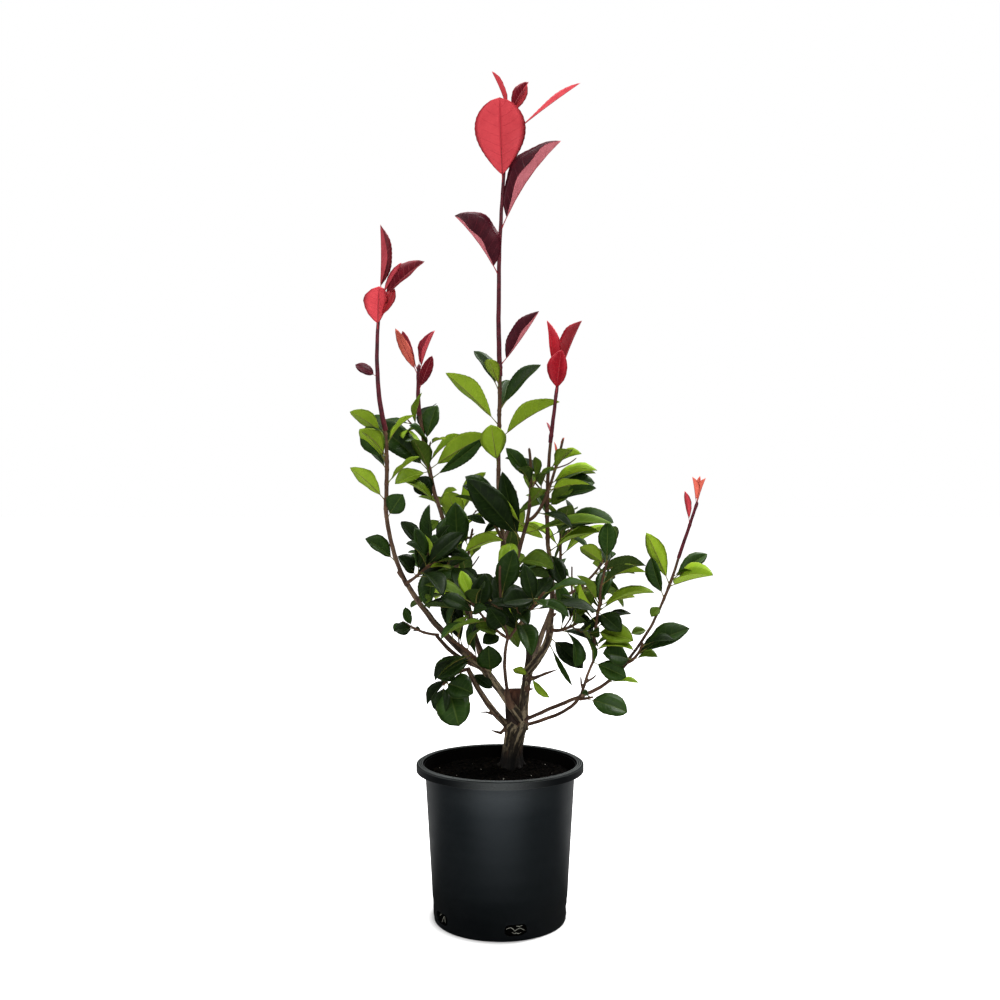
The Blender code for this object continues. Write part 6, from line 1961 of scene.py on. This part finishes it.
@dataclass
class PrunedStump:
    """The sawn-off top of the old trunk: reddish wood with a darker, slightly sunken cut."""

    sides: int = 40
    rows: int = 26
    sunk: float = 0.002
    insets: tuple[tuple[float, float], ...] = (
        (0.0007, 0.0), (0.0011, -0.0006), (0.0028, -0.0003), (0.0026, 0.0003), (0.0020, -0.0004))
    side_ends: float = 0.0012
    side_least: float = 0.0098

    def build(self) -> None:
        """Extrudes the stump from its foot, insets its cut, and roughens its sides."""
        work = bmesh.new()
        foot, top = Vector(STUMP_FOOT) * MM, Vector(STUMP_TOP) * MM
        axis = (top - foot).normalized()
        turn = Vector((0, 0, 1)).rotation_difference(axis).to_matrix().to_4x4()
        made = bmesh.ops.create_circle(
            work, cap_ends=True, cap_tris=False, segments=self.sides, radius=STUMP_RADII[0] * MM,
            matrix=Matrix.Translation(foot - axis * self.sunk) @ turn)
        face = made["verts"][0].link_faces[0]
        step = ((top - foot).length + self.sunk) / self.rows
        for _ in range(self.rows):
            made = bmesh.ops.extrude_face_region(work, geom=[face])
            moved = [item for item in made["geom"] if isinstance(item, bmesh.types.BMVert)]
            bmesh.ops.translate(work, vec=axis * step, verts=moved)
            bmesh.ops.delete(work, geom=[face], context="FACES_ONLY")
            face = next(item for item in made["geom"] if isinstance(item, bmesh.types.BMFace))
        rim = [edge for edge in face.edges]
        for thickness, depth in self.insets:
            bmesh.ops.inset_region(work, faces=[face], thickness=thickness, depth=depth)
        bmesh.ops.bevel(work, geom=rim, offset=0.0005, segments=2, profile=0.5, affect="EDGES", material=-1)
        bmesh.ops.holes_fill(work, edges=[edge for edge in work.edges if edge.is_boundary])
        bmesh.ops.recalc_face_normals(work, faces=work.faces)
        age, hollow, streak = (work.verts.layers.float.new(name) for name in ("age", "hollow", "streak"))
        for vert in work.verts:
            away = vert.co - foot
            height = away.dot(axis)
            out = away - axis * height
            grain = noise.noise(Vector((math.atan2(out.y, out.x) * 4.5, height * 120, 1.0)))
            cut = noise.noise(Vector((out.length * 1500, 0, 4.0)))
            on_side = height < (top - foot).length - self.side_ends and out.length > self.side_least
            below = (top - foot).length - height
            vert[age] = max(0.0, 1.0 - below * 42) if on_side else 0.7
            vert[hollow] = min(1.0, max(0.0, 0.5 - abs(grain) * 3)) if on_side else max(0.0, 0.25 + 0.5 * cut)
            vert[streak] = min(1.0, max(0.0, 0.5 + 0.9 * grain))
            if on_side and out.length > 0:
                vert.co += out.normalized() * (0.00035 * grain - 0.0003 * vert[hollow])
        obj = object_of("pruned_top", work)
        obj.data.shade_smooth()
        obj.data.set_sharp_from_angle(angle=math.radians(50))
        dress(obj, [CUT_WOOD], ["pruned_stump"])


@dataclass
class NurseryPot:
    """The round black pot: a ridged rim with a short skirt, a tapered wall and drain holes at its foot."""

    height: float = 0.185
    rim_radius: float = 0.100
    rim_flat: float = 0.0085
    lip_depth: float = 0.0085
    neck_radius: float = 0.0895
    foot_radius: float = 0.0785
    wall: float = 0.0018
    floor: float = 0.0024
    foot_band: float = 0.027
    steps: int = 160
    drain_holes: int = 5
    drain_first: float = 283.0
    drain_size: tuple[float, float, float] = (0.012, 0.026, 0.013)
    drain_lift: float = 0.0065

    def wall_radius(self, height: float) -> float:
        """The wall's outer radius at a height."""
        taper = self.neck_radius - self.foot_radius
        return self.foot_radius + taper * height / (self.height - self.lip_depth)

    def section(self) -> list[tuple[float, float]]:
        """The pot's section, from the middle of its underside round wall and rim to its floor."""
        top, rim = self.height, self.rim_radius
        lip = top - self.lip_depth
        radius = self.wall_radius
        outside = [(0, 0), (self.foot_radius - 0.0012, 0)]
        outside += [(self.foot_radius - 0.0004, 0.0003), (radius(0.0012), 0.0012)]
        for height in (0.006, self.foot_band):
            outside += [(radius(height), height), (radius(height) + 0.0006, height + 0.0009)]
        outside += [(radius(h) + 0.0004 * (1 - h / 0.17), h) for h in (0.05, 0.08, 0.11, 0.14)]
        outside += [(self.neck_radius, lip), (self.neck_radius + 0.0006, top - 0.0019)]
        skirt = [(rim - 0.0019, top - 0.0019), (rim - 0.0017, lip + 0.0003)]
        skirt += [(rim - 0.0014, lip), (rim - 0.0004, lip)]
        skirt += [(rim, lip + 0.0004), (rim, lip + 0.0010), (rim, top - 0.0014), (rim, top - 0.0010)]
        skirt += [(rim - 0.0003, top - 0.0004), (rim - 0.0010, top)]
        ridges = []
        for inward in (0.0028, 0.0050, 0.0072):
            for off, high in ((0.0008, 0.0), (0.0003, 0.0009), (-0.0003, 0.0009), (-0.0008, 0.0)):
                ridges.append((rim - inward + off, top + high))
        edge = rim - self.rim_flat
        inside = [(edge + 0.0004, top), (edge, top - 0.0004)]
        inside += [(self.neck_radius - self.wall + 0.0006, top - 0.006)]
        inside += [(radius(h) - self.wall, h) for h in (0.15, 0.10, 0.05)]
        corner = radius(self.floor) - self.wall
        inside += [(corner, self.floor + 0.002), (corner - 0.002, self.floor)]
        return outside + skirt + ridges + inside + [(0, self.floor)]

    def drain_cutter(self) -> bpy.types.Object:
        """One helper of rounded blocks that cuts the drain holes."""
        work = bmesh.new()
        for k in range(self.drain_holes):
            made = bmesh.ops.create_cube(work, size=1.0)
            bmesh.ops.scale(work, vec=self.drain_size, verts=made["verts"])
            edges = {edge for vertex in made["verts"] for edge in vertex.link_edges}
            along = [edge for edge in edges if abs(edge.verts[0].co.x - edge.verts[1].co.x) > 0.01]
            shaped = bmesh.ops.bevel(work, geom=along, offset=self.drain_size[2] * 0.42, segments=6,
                                     profile=0.5, affect="EDGES", material=-1)
            corners = {vertex for face in shaped["faces"] for vertex in face.verts}
            lift = self.drain_lift + self.drain_size[2] / 2
            angle = math.radians(self.drain_first) + 2 * math.pi * k / self.drain_holes
            place = Matrix.Rotation(angle, 4, "Z") @ Matrix.Translation((self.foot_radius, 0, lift))
            bmesh.ops.transform(work, matrix=place, verts=list(corners))
        return object_of("drain_cutter", work)

    def mark(self, mesh: bpy.types.Mesh) -> None:
        """Writes painted highlights on the ridges, rim and front lip, and soils the inside, darker as painted
        shade.
        """
        top, lip = self.height, self.height - self.lip_depth
        painted_highlights = []
        for vert in mesh.vertices:
            x, y, z = vert.co
            away = math.hypot(x, y)
            front = max(0.0, -y / max(away, 0.001))
            # painted highlights: glints on the ridge crests and the rim's outer edge, and a highlight on the
            # front of the lip and on the neck below it, fading away from the front
            if away < self.rim_radius - 0.0005:
                high = (self.neck_radius - 0.001 < away < self.neck_radius + 0.001
                        and lip - 0.001 < z < top - 0.001)
                painted_highlights.append(0.60 if z > top + 0.0005 else 0.13 * front ** 7 if high else 0.0)
            elif top - 0.0008 < z < top - 0.0002:
                painted_highlights.append(0.20)
            else:
                painted_highlights.append(0.24 * front ** 14 + (0.05 if abs(z - lip) < 0.0005 else 0.0))
        write_numbers(mesh, "scuff", painted_highlights)
        for face in mesh.polygons:
            x, y, z = face.center
            away = math.hypot(x, y)
            within = self.rim_radius - self.rim_flat if z > lip else self.wall_radius(z) - self.wall * 0.6
            if away < within + 0.0002 and z > self.floor / 2:
                # the inside takes the soiled finish, darkened further as painted shade
                face.material_index = 1
            else:
                # the rim and lip take the darker copy of the plastic as painted shade; the wall keeps its own
                face.material_index = 2 if z > lip - 0.0002 else 0

    def build(self) -> None:
        """Turns the pot, cuts its rounded drain holes, and gives it its finishes."""
        helper = object_of("pot_blank", spun(self.section(), self.steps))
        cutter = self.drain_cutter()
        cut = helper.modifiers.new("drain", "BOOLEAN")
        cut.operation = "DIFFERENCE"
        cut.solver = "EXACT"
        cut.object = cutter
        obj = to_mesh_object("nursery_pot", helper)
        bpy.data.objects.remove(cutter, do_unlink=True)
        self.mark(obj.data)
        obj.data.shade_smooth()
        obj.data.set_sharp_from_angle(angle=math.radians(32))
        dress(obj, (POT_PLASTIC, SOILED_SHADED_PLASTIC, SHADED_RIM_PLASTIC), ["pot"])


@dataclass
class PottingMix:
    """The potting mix: a lumpy bed that fills the pot, strewn with bark chips and a little pale grit."""

    level: float = 0.172
    clear: float = 0.0004
    chips: int = 2600
    grit: int = 26
    shapes: int = 7
    reach: float = 0.0835
    steps: int = 120
    mound: float = 0.0022
    bare: float = 0.0125
    brown_share: float = 0.16
    bedded: float = 0.55

    def surface(self, x: float, y: float) -> float:
        """The height of the bed at a place."""
        away = math.hypot(x - TRUNK_FOOT[0] * MM, y - TRUNK_FOOT[1] * MM)
        lumps = noise.noise(Vector((x * 160, y * 160, 0))) * 0.0011
        lumps += noise.noise(Vector((x * 420, y * 420, 5))) * 0.0006
        edge = 1 - min(1.0, max(0.0, (math.hypot(x, y) - 0.070) / 0.014))
        return self.level - 0.0012 + (lumps + self.mound * math.exp(-((away / 0.024) ** 2))) * edge

    def build_bed(self, pot: NurseryPot) -> None:
        """Turns the bed to fit inside the pot and makes its top lumpy."""
        low = pot.floor + self.clear
        heights = (low + 0.003, 0.05, 0.10, 0.15, self.level - 0.0014)
        side = [(pot.wall_radius(h) - pot.wall - self.clear, h) for h in heights]
        section = [(0, low), (side[0][0] - 0.002, low), *side]
        top = side[-1][0]
        section += [(top * k / 34, self.level - 0.0012) for k in range(33, -1, -1)]
        work = spun(section, self.steps)
        for vert in work.verts:
            if vert.co.z > self.level - 0.0013:
                vert.co.z = self.surface(vert.co.x, vert.co.y)
        obj = object_of("mix_bed", work)
        obj.data.shade_smooth()
        dress(obj, [DAMP_SHADED_MIX], ["potting_mix"])

    def build_threads(self, pot: NurseryPot) -> None:
        """Sweeps the pale root threads that show in two of the pot's drain holes."""
        stems = SweptStems("root_threads", 1)
        middle = pot.drain_lift + pot.drain_size[2] / 2
        for hole, places in ROOT_THREADS:
            angle = math.radians(pot.drain_first + 360 / pot.drain_holes * hole)
            out = Vector((math.cos(angle), math.sin(angle), 0))
            round_it = Vector((-math.sin(angle), math.cos(angle), 0))
            away = pot.wall_radius(middle) - pot.wall * 0.8
            points = [(out * away + round_it * aside * MM + Vector((0, 0, middle + up * MM))) / MM
                      for aside, up in places]
            stems.add(points, [0.30] + [0.34] * (len(points) - 2) + [0.16])
        dress(stems.finish(), [ROOT_THREAD], ["potting_mix"])

    def build_chips(self) -> None:
        """Strews the chips and the grit over the bed as one mesh."""
        dice = random.Random(CHIP_SEED)
        shapes = [self.chip_shape(dice) for _ in range(self.shapes)]
        points, faces, kinds = [], [], []
        count = 0
        for number in range(self.chips + self.grit):
            pale = number >= self.chips
            corners, triangles = shapes[dice.randrange(self.shapes)]
            away, angle = self.reach * math.sqrt(dice.random()), dice.uniform(0, 2 * math.pi)
            x, y = away * math.cos(angle), away * math.sin(angle)
            if math.hypot(x - TRUNK_FOOT[0] * MM, y - TRUNK_FOOT[1] * MM) < self.bare:
                continue
            if pale:
                size = dice.uniform(0.0008, 0.0014)
            else:
                size = dice.uniform(0.0012, 0.0040) * (0.6 + 0.4 * dice.random())
            turn = Matrix.Rotation(dice.uniform(0, 6.28), 3, "Z")
            turn = turn @ Matrix.Rotation(dice.uniform(-0.5, 0.5), 3, "X")
            turn = np.array(turn @ Matrix.Rotation(dice.uniform(-0.4, 0.4), 3, "Y"))
            aspect = np.array((1.0, 0.9, 0.8))
            if not pale:
                aspect = np.array((1.0, dice.uniform(0.4, 0.75), dice.uniform(0.22, 0.45)))
            placed = (corners * aspect * size) @ turn.T
            low = placed[:, 2].min()
            placed += np.array((x, y, self.surface(x, y) - low * self.bedded))
            points.append(placed)
            faces.append(triangles + count)
            kind = CHIPS.index(PALE_CHIP) if pale else int(dice.random() < self.brown_share)
            kinds += [kind] * len(triangles)
            count += len(placed)
        mesh = bpy.data.meshes.new("bark_chips")
        mesh.from_pydata(np.concatenate(points).tolist(), [], np.concatenate(faces).tolist())
        mesh.polygons.foreach_set("material_index", kinds)
        dress(add_object("bark_chips", mesh), CHIPS, ["potting_mix"])

    def chip_shape(self, dice: random.Random) -> tuple[np.ndarray, np.ndarray]:
        """One rough lump of unit size, as points and triangles."""
        work = bmesh.new()
        bmesh.ops.create_icosphere(work, subdivisions=1, radius=1.0)
        for vert in work.verts:
            vert.co *= dice.uniform(0.65, 1.15)
        points = np.array([tuple(vert.co) for vert in work.verts])
        triangles = np.array([[vert.index for vert in face.verts] for face in work.faces])
        work.free()
        return points, triangles


@dataclass
class Studio:
    """A plain pale floor, soft lights, and the camera where the photographer stood."""

    camera_at: Triple = (0.0, -1.35, 0.499)
    lens: float = 40.57
    world_light: float = 0.20
    world_gloss: float = 0.14
    aim: Triple = (0.0, 0.0, 0.5)
    lights: tuple[tuple[str, Triple, float, float], ...] = (
        ("key", (1.3, 0.7, 2.7), 0.7, 90),
        ("front", (0.2, -2.4, 2.1), 1.2, 40),
        ("top", (-0.4, -0.1, 3.0), 1.4, 50),
        ("left", (-2.2, -0.2, 1.2), 1.4, 10),
    )

    def build(self) -> None:
        """Sets the camera, the lights, the world and the floor."""
        scene = bpy.context.scene
        camera = add_object("camera", bpy.data.cameras.new("camera"))
        camera.data.lens = self.lens
        camera.data.sensor_width = 36.0
        camera.data.clip_end = 50.0
        camera.location = self.camera_at
        camera.rotation_euler = (math.radians(90), 0, 0)
        scene.camera = camera
        for name, place, size, power in self.lights:
            self.light(name, place, size, power)
        world = bpy.data.worlds.new("studio")
        world.use_nodes = True
        graph = Graph(world.node_tree)
        path = graph.add("LightPath")
        ground = world.node_tree.nodes["Background"]
        ground.inputs["Color"].default_value = (1.0, 1.0, 1.0, 1.0)
        unseen = graph.steps(path.outputs["Is Glossy Ray"], 0.0, 1.0, self.world_light, self.world_gloss)
        graph.feed(ground.inputs["Strength"], graph.sum("MAXIMUM", unseen, path.outputs["Is Camera Ray"]))
        scene.world = world
        scene.view_settings.view_transform = "Standard"
        scene.view_settings.look = "None"
        work = bmesh.new()
        bmesh.ops.create_grid(work, x_segments=2, y_segments=2, size=30.0)
        floor = object_of("floor", work)
        floor.data.materials.append(FLOOR_FINISH.material())
        floor.data.shade_smooth()

    def light(self, name: str, place: Triple, size: float, power: float) -> None:
        """Adds one soft square light that faces the plant."""
        lamp = bpy.data.lights.new(name, "AREA")
        lamp.size = size
        lamp.energy = power
        obj = add_object(name, lamp)
        obj.location = place
        obj.rotation_euler = (Vector(self.aim) - Vector(place)).to_track_quat("-Z", "Y").to_euler()


def main() -> None:
    """Builds every piece in order."""
    logging.basicConfig(level=logging.INFO, format="%(name)s: %(message)s")
    build_mottle()
    build_veins()
    pot = NurseryPot()
    pot.build()
    mix = PottingMix()
    mix.build_bed(pot)
    mix.build_chips()
    mix.build_threads(pot)
    OldWood().build()
    PrunedStump().build()
    crown = Crown(BOUGHS, SHOOTS)
    LOG.info("rule: %d leaves", len(crown.leaves))
    limbs = {limb.name: limb for limb in (*BOUGHS, *[shoot.stem for shoot in SHOOTS])}
    crown.add_large(limbs, SHOOTS, EXTRA_LEAVES)
    LOG.info("with large leaves: %d leaves", len(crown.leaves))
    crown.refine(SHOOTS)
    LOG.info("with finer twigs: %d leaves, %d twigs", len(crown.leaves), len(crown.twigs))
    crown.restyle(RESHAPED)
    crown.open_gaps(SKY_GAPS)
    LOG.info("with gaps opened: %d leaves, %d twigs", len(crown.leaves), len(crown.twigs))
    foliage = Foliage(crown, SHOOTS)
    foliage.build_leaves()
    foliage.build_stalks()
    foliage.build_stems()
    foliage.build_buds()
    Studio().build()


if __name__ == "__main__":
    main()
